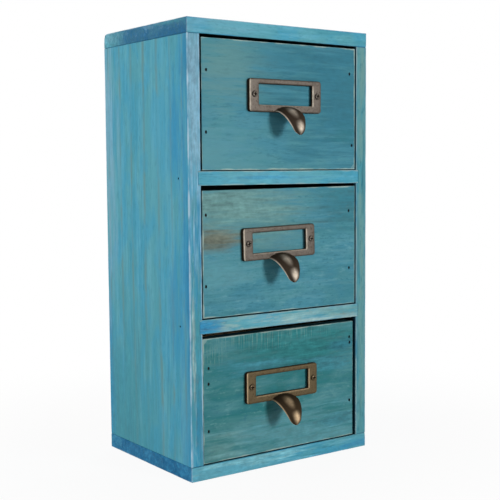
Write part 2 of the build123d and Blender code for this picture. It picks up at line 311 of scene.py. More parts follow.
# Shine and relief of the finishes, and the tint of the light that cast metal throws back at a shallow
# angle
WOOD_SHINE = 0.05
NAIL_SHINE = 0.05
METAL_SHINE = 0.15
WOOD_BUMP = {"Strength": 0.4, "Distance": 0.0005}
METAL_BUMP = {"Strength": 0.25, "Distance": 0.0001}
GRAZING_TINT = (0.60, 0.46, 0.32)

# How far the narrow faces, end grain and cut faces reach round a board's corner, and how deep in the
# case a face is darkened with painted shade
NARROW_START = 0.0004
NARROW_BLEND = 0.0006
END_BLEND = 0.0006
CUT_START = 0.0002
CUT_BLEND = 0.0004
HIDDEN_START = 0.0004
HIDDEN_BLEND = 0.0008

# A patch of colour on a board: its colour and middle, which the tables give as a setting's name and as
# shares of the board, its reach in metres, how strong and ragged it is, and marks, the size of any ticks
# it is broken into
Patch = namedtuple("Patch", "colour middle reach strength ragged marks", defaults=(None,))

# Stain on one kind of face: four colours, which the tables give as names of settings, how strongly
# streaks, flecks and growth lines show, and its patches
Coat = namedtuple(
    "Coat", "body other deep pale contrast flecks growth patches", defaults=(0.6, 0.5, 0.0, ())
)

# The finish of a board: coats on its faces, narrow edges and end grain, then the colour, amount and
# width of the rubbing along its edges
Finish = namedtuple("Finish", "face edge end rubbed rub_amount rub_width")

# A distance past the ends of every board, and the ticks of blotchy end grain
FAR = 9.0
BLOTCH = (0.004, 0.011, 0.004)

# Bare wood: its deeper and paler tones over its own, the painted shade just behind the drawer fronts,
# and how its edges are rubbed
BARE_DEEP = 0.78
BARE_PALE = 1.15
SHADE_BEHIND_FRONTS_REACH = (FAR, 0.016, FAR)
SHADE_BEHIND_FRONTS_STRENGTH = 0.95
SHADE_BEHIND_FRONTS_RAGGED = 0.3
BARE_RUB_AMOUNT = 0.4
BARE_RUB_WIDTH = 0.0006


def colour(name, description, default):
    """A colour property, as linear light."""
    return FloatVectorProperty(
        name=name, description=description, default=default, subtype="COLOR", min=0.0, max=1.0
    )


def distance(name, description, default):
    """A length property in metres."""
    return FloatProperty(
        name=name,
        description=description,
        default=default,
        subtype="DISTANCE",
        unit="LENGTH",
        min=0.0,
        precision=5,
    )


def factor(name, description, default):
    """A share property from 0 to 1."""
    return FloatProperty(
        name=name, description=description, default=default, subtype="FACTOR", min=0.0, max=1.0
    )


def light_level(name, description, default):
    """A light level property."""
    return FloatProperty(name=name, description=description, default=default, min=0.0)


class BoardSettings(bpy.types.PropertyGroup):
    """How the boards are worked and worn."""

    spacing: distance("Grid Spacing", "Spacing of the mesh over a board's faces", 0.0032)
    edge_round: distance("Edge Round", "Least rounding of a board's edges", 0.0005)
    edge_wear: factor("Edge Wear", "How much further the edges are knocked back in places", 0.7)
    relief: distance("Relief", "How far the faces dip below the drawn board", 0.00012)
    pit_flare: factor("Pit Flare", "How much wider a nail pit is at the surface", 0.25)


class StainSettings(bpy.types.PropertyGroup):
    """Colours of the stained and bare wood."""

    blue: colour("Blue", "Stain on the sides", (0.062, 0.305, 0.435))
    turquoise: colour("Turquoise", "Greener stain on the sides", (0.090, 0.318, 0.380))
    deep_blue: colour("Deep Blue", "Stain where the case took more of it", (0.028, 0.225, 0.425))
    pale_blue: colour("Pale Blue", "Thin stain on the case", (0.130, 0.395, 0.500))
    navy: colour("Navy", "Stain soaked into end grain", (0.010, 0.125, 0.275))
    ink: colour("Ink", "Darkest stain in the bottom board's end grain", (0.004, 0.080, 0.200))
    slate: colour("Slate", "Greyed blue in the top board's end grain", (0.042, 0.150, 0.235))
    lavender: colour("Lavender", "Greyed stain on the front edges", (0.208, 0.392, 0.505))
    sea_green: colour("Sea Green", "Stain low on the sides and on the right", (0.058, 0.255, 0.310))
    edge_green: colour("Edge Green", "Stain on the right side's front edge", (0.112, 0.278, 0.288))
    top_front: colour("Top Front", "Stain on the top drawer's front", (0.060, 0.228, 0.298))
    middle_front: colour("Middle Front", "Stain on the middle drawer's front", (0.068, 0.238, 0.282))
    bottom_front: colour("Bottom Front", "Stain on the bottom drawer's front", (0.068, 0.221, 0.241))
    deep_teal: colour("Deep Teal", "Stain where the fronts took more of it", (0.030, 0.150, 0.192))
    # Darkens the top front towards its right end, and as painted shade in its pull's label window
    deep_top: colour("Deep Top Front", "Stain where the top front took more of it", (0.031, 0.152, 0.210))
    pale_teal: colour("Pale Teal", "Thin stain on the fronts", (0.120, 0.310, 0.355))
    green: colour("Green", "Green stain on the bottom front", (0.025, 0.160, 0.170))
    olive: colour("Olive", "Bare wood that tints the stain olive", (0.140, 0.275, 0.262))
    brown: colour("Brown", "Brown smudge on the middle front", (0.138, 0.152, 0.116))
    foam: colour("Foam", "Pale turquoise streaks on the shelf and bottom edges", (0.215, 0.500, 0.560))
    cream: colour("Cream", "Pale wood on rubbed edges", (0.370, 0.480, 0.430))
    # Pale worn edges, partly a painted highlight along the case's edges
    bloom: colour("Bloom", "Whitened corners of the case", (0.420, 0.580, 0.680))
    growth: colour("Growth Lines", "Growth lines that show through the stain", (0.118, 0.232, 0.228))
    pore: colour("Pores", "Dark pores in the stain", (0.020, 0.105, 0.150))
    # Painted shade: near black on cut faces, in nail pits, inside the case and just behind the drawer
    # fronts
    shade: colour("Inside", "Stain and dirt inside the case", (0.004, 0.014, 0.018))
    # Partly stain, partly painted shade: darkens the fronts' edges so the gaps round them read dark
    dark_edge: colour("Dark Edge", "Stain on the edges of the drawer fronts", (0.014, 0.058, 0.070))
    bare: colour("Bare Wood", "Unstained drawer boards", (0.46, 0.32, 0.18))
    bare_growth: colour("Bare Growth Lines", "Growth lines of the unstained boards", (0.30, 0.17, 0.07))
    panel: colour("Panels", "Back panel and drawer bottoms", (0.38, 0.26, 0.15))


class PullSettings(bpy.types.PropertyGroup):
    """Sizes and colours of the label-frame pulls and their screws."""

    width: distance("Width", "Width of the card frame", 0.064)
    height: distance("Height", "Height of the card frame", 0.0234)
    thickness: distance("Thickness", "Thickness of the card frame", 0.0034)
    corner: distance("Corner", "Corner radius of the card frame", 0.0021)
    edge_round: distance("Edge Round", "Rounding of the frame's front edges", 0.0010)
    window_width: distance("Window Width", "Width of the label window", 0.0478)
    window_height: distance("Window Height", "Height of the label window", 0.0146)
    top_rail: distance("Top Rail", "Height of the rail above the window", 0.0037)
    slot_depth: distance("Card Slot Depth", "Depth of the card slot behind the frame", 0.0011)
    slot_lip: distance("Card Slot Lip", "How far the card slot reaches past the window", 0.002)
    hook_width: distance("Hook Width", "Width of the finger hook at its root", 0.021)
    hook_reach: distance("Hook Reach", "How far the hook stands out from the frame", 0.0153)
    hook_drop: distance("Hook Drop", "How far the hook would drop in a full quarter turn", 0.0188)
    hook_wall: distance("Hook Wall", "Thickness of the hook at its crown", 0.0019)
    hook_rim: distance("Hook Rim", "Thickness of the hook at its rims", 0.0012)
    hook_crown: distance("Hook Crown", "Rise of the hook above its rims", 0.0037)
    screw_radius: distance("Screw Head Radius", "Radius of the screw heads", 0.0022)
    screw_height: distance("Screw Head Height", "Height of the screw heads", 0.0013)
    bronze: colour("Bronze", "Cast metal", (0.090, 0.078, 0.067))
    golden_bronze: colour("Golden Bronze", "Cast metal of the bottom pull", (0.080, 0.060, 0.033))
    patina: colour("Patina", "Dark finish in the hollows", (0.024, 0.015, 0.009))
    # Also the colour of the painted highlights on the pulls' edges and hooks
    polished: colour("Polished", "Metal rubbed bright on the edges", (0.620, 0.540, 0.440))
    golden_polished: colour("Golden Polished", "Rubbed metal of the bottom pull", (0.560, 0.410, 0.250))
    # Painted shade in the crossed recess and round the screw heads
    recess: colour(
        "Screw Recess", "Dirt in the crossed recess and round the screw heads", (0.003, 0.002, 0.002)
    )


class NailSettings(bpy.types.PropertyGroup):
    """Sizes and colour of the nails."""

    head_thickness: distance("Head Thickness", "Thickness of a nail's head", 0.0007)
    shank_radius: distance("Shank Radius", "Radius of a nail's shank", 0.0006)
    point_length: distance("Point Length", "Length of a nail's point", 0.0016)
    steel: colour("Steel", "Blackened nail steel", (0.012, 0.012, 0.013))
    rust: colour("Rust", "Rust on the nails", (0.010, 0.007, 0.006))


class StageSettings(bpy.types.PropertyGroup):
    """Light, floor and camera."""

    ambient: light_level("Ambient", "Level of the soft light from all round", 0.15)
    key: light_level("Key", "Level that the key light adds to the front", 0.68)
    fill: light_level("Fill", "Level that the fill light adds to the left side", 0.76)
    back: light_level("Back", "Level that the back light adds to the rear", 0.40)
    floor: colour("Floor", "Pale floor", (0.86, 0.86, 0.86))
    lens: FloatProperty(
        name="Lens", description="Focal length of the camera", default=74.37, unit="CAMERA", min=1.0
    )


SETTINGS = {
    "chest_boards": BoardSettings,
    "chest_stain": StainSettings,
    "chest_pulls": PullSettings,
    "chest_nails": NailSettings,
    "chest_stage": StageSettings,
}


def feed(tree, socket, value):
    """Links a socket to an output, or sets its value."""
    if isinstance(value, bpy.types.NodeSocket):
        tree.links.new(value, socket)
    elif value is not None:
        if socket.type == "RGBA" and len(value) == 3:
            value = (*value, 1.0)
        socket.default_value = value


def add_node(tree, kind, feeds=None, **options):
    """A new node with its options set and its inputs fed by name or number."""
    node = tree.nodes.new(kind)
    for option, value in options.items():
        setattr(node, option, value)
    for key, value in (feeds or {}).items():
        feed(tree, node.inputs[key], value)
    return node


def maths(tree, operation, *values):
    """The result of a Math node."""
    node = add_node(tree, "ShaderNodeMath", dict(enumerate(values)), operation=operation)
    return node.outputs[0]


def times(tree, first, second):
    """The product of two numbers."""
    return maths(tree, "MULTIPLY", first, second)


def vectors(tree, operation, *values):
    """The result of a Vector Math node that gives a vector."""
    node = add_node(tree, "ShaderNodeVectorMath", dict(enumerate(values)), operation=operation)
    return node.outputs["Vector"]


def scaled(tree, vector, by):
    """A vector times a number."""
    node = add_node(tree, "ShaderNodeVectorMath", {0: vector, "Scale": by}, operation="SCALE")
    return node.outputs["Vector"]


def length_of(tree, vector):
    """The length of a vector."""
    return add_node(tree, "ShaderNodeVectorMath", {0: vector}, operation="LENGTH").outputs["Value"]


def noise(tree, vector, detail=2.0, roughness=0.5, warp=0.0):
    """Noise from 0 to 1 whose marks are about one unit across."""
    feeds = {"Vector": vector, "Scale": 1.0, "Detail": detail, "Roughness": roughness, "Distortion": warp}
    return add_node(tree, "ShaderNodeTexNoise", feeds).outputs[0]


def ramp(tree, value, start, end, low=0.0, high=1.0):
    """A soft step of a value from low at start to high at end."""
    feeds = {"Value": value, "From Min": start, "From Max": end, "To Min": low, "To Max": high}
    node = add_node(tree, "ShaderNodeMapRange", feeds, interpolation_type="SMOOTHSTEP")
    return node.outputs["Result"]


def blend(tree, mask, under, over):
    """Colour over laid on colour under by a mask."""
    node = add_node(tree, "ShaderNodeMix", {0: mask, 6: under, 7: over}, data_type="RGBA")
    return node.outputs[2]


def new_tree(kind, name, inputs, outputs):
    """A node group with named sockets, and its input and output nodes."""
    tree = bpy.data.node_groups.new(name, kind)
    for in_out, sockets in (("INPUT", inputs), ("OUTPUT", outputs)):
        for socket_name, socket_kind in sockets.items():
            socket_type = f"NodeSocket{socket_kind}"
            tree.interface.new_socket(name=socket_name, in_out=in_out, socket_type=socket_type)
    return tree, add_node(tree, "NodeGroupInput").outputs, add_node(tree, "NodeGroupOutput").inputs


def geometry_tree(name, inputs):
    """A geometry node tree with named inputs, and its input and output nodes."""
    return new_tree("GeometryNodeTree", name, inputs, {"Geometry": "Geometry"})


def worn_board_tree(name):
    """Geometry nodes for one board: a gridded block with worn round edges, cut for what it holds."""
    tree, given, result = geometry_tree(
        name,
        {
            "Low": "Vector",
            "High": "Vector",
            "Spacing": "Float",
            "Edge Round": "Float",
            "Edge Wear": "Float",
            "Relief": "Float",
            "Corner Drop": "Float",
            "Knocked Corner": "Vector",
            "Knock Round": "Float",
            "Seed": "Float",
            "Cutters": "Object",
            "Material": "Material",
        },
    )
    size = vectors(tree, "SUBTRACT", given["High"], given["Low"])
    half = scaled(tree, size, 0.5)
    centre = scaled(tree, vectors(tree, "ADD", given["High"], given["Low"]), 0.5)
    steps = vectors(tree, "FLOOR", vectors(tree, "DIVIDE", size, given["Spacing"]))
    cells = vectors(tree, "ADD", vectors(tree, "MAXIMUM", steps, ONES), EDGE_CELLS)
    counts = add_node(tree, "ShaderNodeSeparateXYZ", {0: vectors(tree, "ADD", cells, ONES)}).outputs
    feeds = {f"Vertices {axis}": counts[axis] for axis in "XYZ"}
    block = add_node(tree, "GeometryNodeMeshCube", {"Size": (2.0, 2.0, 2.0), **feeds}).outputs["Mesh"]
    square = spread_grid(tree, given, half, cells)
    rounded = round_edges(tree, given, square, half, centre)
    lowered = let_corner_down(tree, given, rounded, half)
    final = vectors(tree, "ADD", vectors(tree, "ADD", rounded, centre), lowered)
    board = add_node(tree, "GeometryNodeSetPosition", {"Geometry": block, "Position": final}).outputs[0]
    finish_tree(tree, cut_board(tree, given, board), given["Material"], result)
    return tree


def spread_grid(tree, given, half, cells):
    """Places on a board's block, spread so that the grid's outer rows fall in the rounded edge."""
    place = add_node(tree, "GeometryNodeInputPosition").outputs[0]
    reach = vectors(tree, "ABSOLUTE", place)
    band = vectors(tree, "DIVIDE", EDGE_CELLS, cells)
    widest = times(tree, given["Edge Round"], maths(tree, "ADD", ROUND_MARGIN, given["Edge Wear"]))
    flat_share = vectors(tree, "DIVIDE", reach, vectors(tree, "SUBTRACT", ONES, band))
    on_flat = vectors(tree, "MULTIPLY", flat_share, vectors(tree, "SUBTRACT", half, widest))
    edge_share = vectors(tree, "DIVIDE", vectors(tree, "SUBTRACT", ONES, reach), band)
    on_edge = vectors(tree, "SUBTRACT", half, scaled(tree, edge_share, widest))
    spread = vectors(tree, "MINIMUM", on_flat, on_edge)
    return vectors(tree, "MULTIPLY", vectors(tree, "SIGN", place), spread)


def round_edges(tree, given, square, half, centre):
    """A board's places with its edges rounded by an uneven radius and its faces dipped a little."""
    on_board = vectors(tree, "ADD", square, centre)
    pattern = vectors(tree, "ADD", on_board, given["Seed"])
    knocks = ramp(tree, noise(tree, scaled(tree, pattern, KNOCKS_PER_METRE), detail=3.0), *KNOCK_RANGE)
    wear = times(tree, knocks, given["Edge Wear"])
    worn = times(tree, given["Edge Round"], maths(tree, "ADD", LEAST_ROUND, wear))
    gap = length_of(tree, vectors(tree, "SUBTRACT", on_board, given["Knocked Corner"]))
    knock_reach = maths(tree, "MULTIPLY_ADD", given["Knock Round"], KNOCK_SPREAD, MERGE)
    knock = times(tree, given["Knock Round"], ramp(tree, gap, knock_reach, 0.0))
    radius = maths(tree, "ADD", worn, knock)
    core = vectors(tree, "SUBTRACT", half, radius)
    inner = vectors(tree, "MAXIMUM", vectors(tree, "MINIMUM", square, core), scaled(tree, core, -1.0))
    outward = vectors(tree, "NORMALIZE", vectors(tree, "SUBTRACT", square, inner))
    waves = noise(tree, scaled(tree, pattern, DIPS_PER_METRE), detail=1.0)
    dips = times(tree, given["Relief"], waves)
    return vectors(tree, "ADD", inner, scaled(tree, outward, maths(tree, "SUBTRACT", radius, dips)))


def let_corner_down(tree, given, rounded, half):
    """How far each of a board's places moves when its top left corner is let down."""
    shares = add_node(tree, "ShaderNodeSeparateXYZ", {0: vectors(tree, "DIVIDE", rounded, half)}).outputs
    leftward = maths(tree, "MULTIPLY_ADD", shares[X], -0.5, 0.5)
    upward = maths(tree, "MULTIPLY_ADD", shares[Z], 0.5, 0.5)
    drop = times(tree, times(tree, leftward, upward), given["Corner Drop"])
    return add_node(tree, "ShaderNodeCombineXYZ", {"Z": times(tree, drop, -1.0)}).outputs[0]


def cut_board(tree, given, board):
    """A board with its housings and nail pits cut, or as it is where it has none."""
    cutters = add_node(tree, "GeometryNodeObjectInfo", {"Object": given["Cutters"]}).outputs["Geometry"]
    cut = cut_away(tree, board, cutters, "MANIFOLD")
    faces = add_node(tree, "GeometryNodeAttributeDomainSize", {0: cutters}).outputs["Face Count"]
    has_cutters = add_node(
        tree, "FunctionNodeCompare", {2: faces, 3: 0}, data_type="INT", operation="GREATER_THAN"
    ).outputs[0]
    feeds = {"Switch": has_cutters, "False": board, "True": cut}
    return add_node(tree, "GeometryNodeSwitch", feeds, input_type="GEOMETRY").outputs[0]


def cut_away(tree, shape, cutter, solver):
    """A shape in a geometry tree, less a cutter."""
    feeds = {"Mesh 1": shape, "Mesh 2": cutter}
    node = add_node(tree, "GeometryNodeMeshBoolean", feeds, operation="DIFFERENCE", solver=solver)
    return node.outputs["Mesh"]


def finish_tree(tree, geometry, material, result):
    """Ends a geometry tree: smooth faces with sharp corners, realized, in one material."""
    smooth = add_node(
        tree, "GeometryNodeSetShadeSmooth", {"Geometry": geometry, "Shade Smooth": True}, domain="FACE"
    ).outputs[0]
    angle = add_node(tree, "GeometryNodeInputMeshEdgeAngle").outputs["Unsigned Angle"]
    corners = maths(tree, "GREATER_THAN", angle, SMOOTH_ANGLE)
    sharp = add_node(
        tree,
        "GeometryNodeSetShadeSmooth",
        {"Geometry": smooth, "Selection": corners, "Shade Smooth": False},
        domain="EDGE",
    ).outputs[0]
    realized = add_node(tree, "GeometryNodeRealizeInstances", {"Geometry": sharp}).outputs[0]
    feeds = {"Geometry": realized, "Material": material}
    feed(tree, result[0], add_node(tree, "GeometryNodeSetMaterial", feeds).outputs[0])


def nails_tree(name):
    """Geometry nodes for a row of nails: a head, a shank and a point at each place."""
    sizes = ("Length", "Head Radius", "Head Thickness", "Shank Radius", "Point Length")
    inputs = {"Places": "Geometry", **dict.fromkeys(sizes, "Float"), "Material": "Material"}
    tree, given, result = geometry_tree(name, inputs)
    head_low = times(tree, given["Head Thickness"], -1.0)
    point_high = maths(tree, "SUBTRACT", given["Point Length"], given["Length"])
    point_end = times(tree, given["Length"], -1.0)
    head_sides = [(given["Head Radius"], times(tree, head_low, share)) for share in NAIL_HEAD_SIDE]
    rings = (
        (times(tree, given["Head Radius"], NAIL_HEAD_TOP), 0.0),
        *head_sides,
        (given["Shank Radius"], head_low),
        (given["Shank Radius"], point_high),
        (times(tree, given["Shank Radius"], NAIL_POINT), point_end),
    )
    nail = turned(tree, rings, NAIL_SIDES)
    set_in_place(tree, given["Places"], nail, given["Material"], result)
    return tree


def turned(tree, rings, sides):
    """A closed round shape in a geometry tree, from rings of radius and height, top first."""
    index = add_node(tree, "GeometryNodeInputIndex").outputs[0]
    ring = maths(tree, "FLOOR", maths(tree, "DIVIDE", index, float(sides)))
    radius, height = rings[0]
    for number, (next_radius, next_height) in enumerate(rings[1:], start=1):
        reached = maths(tree, "GREATER_THAN", ring, number - 0.5)
        radius = add_node(tree, "ShaderNodeMix", {0: reached, 2: radius, 3: next_radius}).outputs[0]
        height = add_node(tree, "ShaderNodeMix", {0: reached, 2: height, 3: next_height}).outputs[0]
    blank = add_node(
        tree,
        "GeometryNodeMeshCylinder",
        {"Vertices": sides, "Side Segments": len(rings) - 1, "Radius": 1.0, "Depth": 1.0},
    ).outputs["Mesh"]
    place = add_node(tree, "GeometryNodeInputPosition").outputs[0]
    around = vectors(tree, "NORMALIZE", vectors(tree, "MULTIPLY", place, (1.0, 1.0, 0.0)))
    lifted = add_node(tree, "ShaderNodeCombineXYZ", {"Z": height}).outputs[0]
    position = vectors(tree, "ADD", scaled(tree, around, radius), lifted)
    return add_node(tree, "GeometryNodeSetPosition", {"Geometry": blank, "Position": position}).outputs[0]


def set_in_place(tree, places, shape, material, result):
    """Ends a geometry tree with a shape set at each place and turned as its turn attribute says."""
    angles = add_node(
        tree, "GeometryNodeInputNamedAttribute", {"Name": "turn"}, data_type="FLOAT_VECTOR"
    ).outputs["Attribute"]
    turn = add_node(tree, "FunctionNodeEulerToRotation", {0: angles}).outputs[0]
    set_out = add_node(
        tree, "GeometryNodeInstanceOnPoints", {"Points": places, "Instance": shape, "Rotation": turn}
    ).outputs[0]
    finish_tree(tree, set_out, material, result)


def screws_tree(name):
    """Geometry nodes for the heads of round-head screws, each on a stub and with a crossed recess."""
    inputs = {"Places": "Geometry", "Head Radius": "Float", "Head Height": "Float", "Material": "Material"}
    tree, given, result = geometry_tree(name, inputs)
    head, tall = given["Head Radius"], given["Head Height"]
    rings = [(times(tree, head, share), times(tree, tall, drop)) for share, drop in SCREW_DOME]
    screw = turned(tree, rings, SCREW_SIDES)
    length = times(tree, head, RECESS_LENGTH)
    width = times(tree, head, RECESS_WIDTH)
    depth = times(tree, tall, RECESS_DEPTH)
    for across, along in ((length, width), (width, length)):
        size = add_node(tree, "ShaderNodeCombineXYZ", {"X": across, "Y": along, "Z": depth}).outputs[0]
        bar = add_node(tree, "GeometryNodeMeshCube", {"Size": size}).outputs["Mesh"]
        screw = cut_away(tree, screw, bar, "EXACT")
    set_in_place(tree, given["Places"], screw, given["Material"], result)
    return tree


def add_object(name, data):
    """Adds an object to the scene."""
    added = bpy.data.objects.new(name, data)
    bpy.context.scene.collection.objects.link(added)
    return added


def loose_object(name, shape):
    """A scratch object made from a bmesh, which is freed."""
    mesh = bpy.data.meshes.new(name)
    shape.to_mesh(mesh)
    shape.free()
    return add_object(name, mesh)


def settled_mesh(source):
    """A plain mesh of an object, with its modifiers worked out."""
    graph = bpy.context.evaluated_depsgraph_get()
    worked_out = source.evaluated_get(graph)
    return bpy.data.meshes.new_from_object(worked_out, preserve_all_data_layers=True, depsgraph=graph)


def grown(name, tree, mesh=None, **values):
    """The plain mesh that a geometry tree makes, with the tree's inputs given by name."""
    source = add_object(name, mesh or bpy.data.meshes.new(name))
    modifier = source.modifiers.new(name, "NODES")
    modifier.node_group = tree
    names = {key.replace("_", " ").title(): value for key, value in values.items()}
    for item in tree.interface.items_tree:
        if item.in_out == "INPUT" and item.name in names:
            modifier[item.identifier] = names[item.name]
    result = settled_mesh(source)
    source.modifiers.remove(modifier)
    bpy.data.objects.remove(source)
    if not result.polygons:
        raise RuntimeError(f"{name} came out empty")
    result.materials.clear()
    result.materials.append(values["material"])
    return result


def place_piece(name, mesh, *nodes):
    """Adds a finished mesh as the piece that stands for its CAD nodes."""
    mesh.name = name
    piece = add_object(name, mesh)
    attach(piece, BODY_OF[nodes[0]])
    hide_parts(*nodes)


def islands(node):
    """The separate solids of a CAD node, each as an array of its points."""
    copy = bmesh.new()
    copy.from_mesh(frame["nodes"][node].data)
    bmesh.ops.remove_doubles(copy, verts=copy.verts, dist=MERGE)
    waiting = set(copy.verts)
    solids = []
    while waiting:
        reached = [waiting.pop()]
        for vert in reached:
            near = {edge.other_vert(vert) for edge in vert.link_edges} & waiting
            waiting -= near
            reached.extend(near)
        solids.append(np.array([vert.co for vert in reached]))
    copy.free()
    return sorted(solids, key=lambda solid: tuple(np.round(solid.mean(axis=0), 4)))


def nails_of(node):
    """The nails of a CAD node."""
    nails = []
    for points in islands(node):
        low, high = points.min(axis=0), points.max(axis=0)
        axis = int(np.argmax(high - low))
        across = [other for other in (X, Y, Z) if other != axis]
        middle = (low + high) / 2
        spans = {}
        for end, height in ((-1, low[axis]), (1, high[axis])):
            ring = points[abs(points[:, axis] - height) < FLUSH / 2][:, across]
            spans[end] = np.linalg.norm(ring - middle[across], axis=1).max()
        end = max(spans, key=spans.get)
        way = Vector((0, 0, 0))
        way[axis] = end
        middle[axis] = high[axis] if end > 0 else low[axis]
        nails.append(Nail(Vector(middle), way, float(high[axis] - low[axis]), float(spans[end])))
    return nails


def add_box(shape, low, high):
    """Adds a box between two corners to a bmesh."""
    place = Matrix.Translation((Vector(low) + Vector(high)) / 2)
    size = Matrix.Diagonal((*(Vector(high) - Vector(low)), 1.0))
    bmesh.ops.create_cube(shape, size=1.0, matrix=place @ size)


def add_pit(shape, head, way, radius, flare, dice, oblong=1.0):
    """Adds the cutter of a nail pit: a rough plug over the head that widens upwards, squeezed in X."""
    floor = head - way * PIT_CLEARANCE
    turn = way.to_track_quat("Z", "Y").to_matrix().to_4x4()
    bmesh.ops.create_cone(
        shape,
        cap_ends=True,
        segments=PIT_SIDES,
        radius1=radius + PIT_CLEARANCE,
        radius2=(radius + PIT_CLEARANCE) * (1 + 2 * flare),
        depth=OVERRUN,
        matrix=Matrix.Translation(floor + way * OVERRUN / 2) @ turn,
    )
    shape.verts.ensure_lookup_table()
    for vert in shape.verts[-2 * PIT_SIDES:]:
        across = vert.co - floor
        height = across.dot(way)
        if height > OVERRUN / 2:
            vert.co += (across - way * height) * dice.uniform(-PIT_JITTER, PIT_JITTER)
        vert.co.x = floor.x + (vert.co.x - floor.x) * oblong


def board_cutters(node, let_in, nails, flare, seed):
    """An object that holds everything to be cut out of a board."""
    board_low, board_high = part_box(node)
    shape = bmesh.new()
    for piece in let_in:
        low, high = (Vector(corner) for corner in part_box(piece))
        for axis in (X, Y, Z):
            low[axis] -= OVERRUN if abs(low[axis] - board_low[axis]) < FLUSH else LET_IN_CLEARANCE
            high[axis] += OVERRUN if abs(high[axis] - board_high[axis]) < FLUSH else LET_IN_CLEARANCE
        add_box(shape, low, high)
    dice = Random(seed)
    oblong = OBLONG_PIT if node.endswith("_front") else 1.0
    for nail in nails_of(nails) if nails else ():
        if nails not in STOPPED_AT_REAR:
            add_pit(shape, nail.head, nail.way, nail.radius, flare, dice, oblong)
        elif nail.head.y < 0:
            add_pit(shape, nail.head, nail.way, nail.radius * CLOSED_PIT, flare, dice)
    return loose_object(f"{node}_cutters", shape)


def corner_drop(node):
    """How much lower a drawer front's top left corner is than its top right one."""
    points = np.array([vert.co for vert in frame["nodes"][node].data.vertices])
    low, high = points.min(axis=0), points.max(axis=0)
    left = points[points[:, X] < low[X] + CORNER_INSET][:, Z].max()
    right = points[points[:, X] > high[X] - CORNER_INSET][:, Z].max()
    return float(right - left)


def write_attribute(mesh, name, kind, values):
    """Stores one value per vertex on a mesh."""
    field = {"FLOAT": "value", "FLOAT_VECTOR": "vector"}[kind]
    layer = mesh.attributes.new(name, kind, "POINT")
    layer.data.foreach_set(field, np.ascontiguousarray(values, dtype=np.float32).ravel())


def soft_step(values, start, width):
    """Values taken from 0 at start to 1 after a width."""
    return np.clip((values - start) / width, 0, 1)


def mark_wood(mesh, node, grain, seed):
    """Stores what the wood finishes read: grain place, distance to an edge, and masks of kinds of face and
    of painted shade.
    """
    low, high = (np.array(corner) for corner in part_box(node))
    points = np.empty(len(mesh.vertices) * 3, dtype=np.float32)
    mesh.vertices.foreach_get("co", points)
    points = points.reshape(-1, 3)
    from_ends = points - low, high - points
    gaps = np.clip(np.minimum(*from_ends), 0, None)
    for axis, end in BUTTED.get(node, ()):
        from_ends[end][:, axis] = FAR
    exposed = np.clip(np.minimum(*from_ends), 0, None)
    thin = int(np.argmin(high - low))
    along_first = [grain] + [axis for axis in (Y, X, Z) if axis != grain]
    # Painted shade on cut faces such as grooves and nail pits, and on case faces that lie inside the case
    dark = soft_step(gaps.min(axis=1), CUT_START, CUT_BLEND)
    if BODY_OF[node] == "case":
        case_low, case_high = np.array(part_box("bottom_board")[0]), np.array(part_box("top_board")[1])
        buried = np.minimum(points - case_low, case_high - points).min(axis=1)
        dark = np.maximum(dark, soft_step(buried, HIDDEN_START, HIDDEN_BLEND))
    stretch = np.array((LONG_GRAIN.get(node, 1.0), 1.0, 1.0))
    step = seed * np.array(BOARD_PATTERN_STEP)
    write_attribute(mesh, "grain", "FLOAT_VECTOR", points[:, along_first] * stretch + step)
    write_attribute(mesh, "edge", "FLOAT", np.sort(exposed, axis=1)[:, 1])
    write_attribute(mesh, "narrow", "FLOAT", soft_step(gaps[:, thin], NARROW_START, NARROW_BLEND))
    write_attribute(mesh, "end", "FLOAT", 1 - soft_step(gaps[:, grain], 0, END_BLEND))
    write_attribute(mesh, "dark", "FLOAT", dark)


def make_board(node, grain, let_in, nails, seed):
    """Makes one worn board in place of its CAD node."""
    settings = bpy.context.scene.chest_boards
    low, high = (list(corner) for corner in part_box(node))
    low_cut, high_cut = PLANED.get(node, (0.0, 0.0))
    low[X] += low_cut
    high[X] -= high_cut
    cutters = board_cutters(node, let_in, nails, settings.pit_flare, seed)
    mesh = grown(
        f"worn_{node}",
        shared_tree(worn_board_tree, "Worn board"),
        low=low,
        high=high,
        spacing=settings.spacing,
        edge_round=settings.edge_round,
        edge_wear=settings.edge_wear,
        relief=settings.relief,
        corner_drop=corner_drop(node) if node.endswith("_front") else 0.0,
        knocked_corner=list(at(node, *KNOCKED_CORNER)),
        knock_round=KNOCK_ROUND if node == "top_board" else 0.0,
        seed=float(seed),
        cutters=cutters,
        material=finish_of(node),
    )
    bpy.data.objects.remove(cutters)
    mark_wood(mesh, node, grain, seed)
    place_piece(f"worn_{node}", mesh, node)


def shared_tree(build, name):
    """A node group by name, built the first time it is asked for."""
    return bpy.data.node_groups.get(name) or build(name)


def places_mesh(name, places):
    """Loose points with a turn attribute, for shapes to be set on."""
    mesh = bpy.data.meshes.new(name)
    mesh.from_pydata([point for point, turn in places], [], [])
    write_attribute(mesh, "turn", "FLOAT_VECTOR", [tuple(turn.to_euler()) for point, turn in places])
    return mesh


def make_nails(node, material):
    """Makes the nails of one CAD node."""
    settings = bpy.context.scene.chest_nails
    nails = nails_of(node)
    places = [(nail.head, nail.way.to_track_quat("Z", "Y")) for nail in nails]
    mesh = grown(
        f"driven_{node}",
        shared_tree(nails_tree, "Driven nails"),
        places_mesh(f"{node}_places", places),
        length=nails[0].length,
        head_radius=nails[0].radius,
        head_thickness=settings.head_thickness,
        shank_radius=settings.shank_radius,
        point_length=settings.point_length,
        material=material,
    )
    place_piece(f"driven_{node}", mesh, node)


def screw_heads(drawer):
    """Top middle of each screw head of a drawer's pull, left first."""
    heads = []
    for points in islands(f"{drawer}_drawer_pull_screws"):
        low, high = points.min(axis=0), points.max(axis=0)
        heads.append(Vector(((low[X] + high[X]) / 2, low[Y], (low[Z] + high[Z]) / 2)))
    return sorted(heads, key=lambda head: head.x)


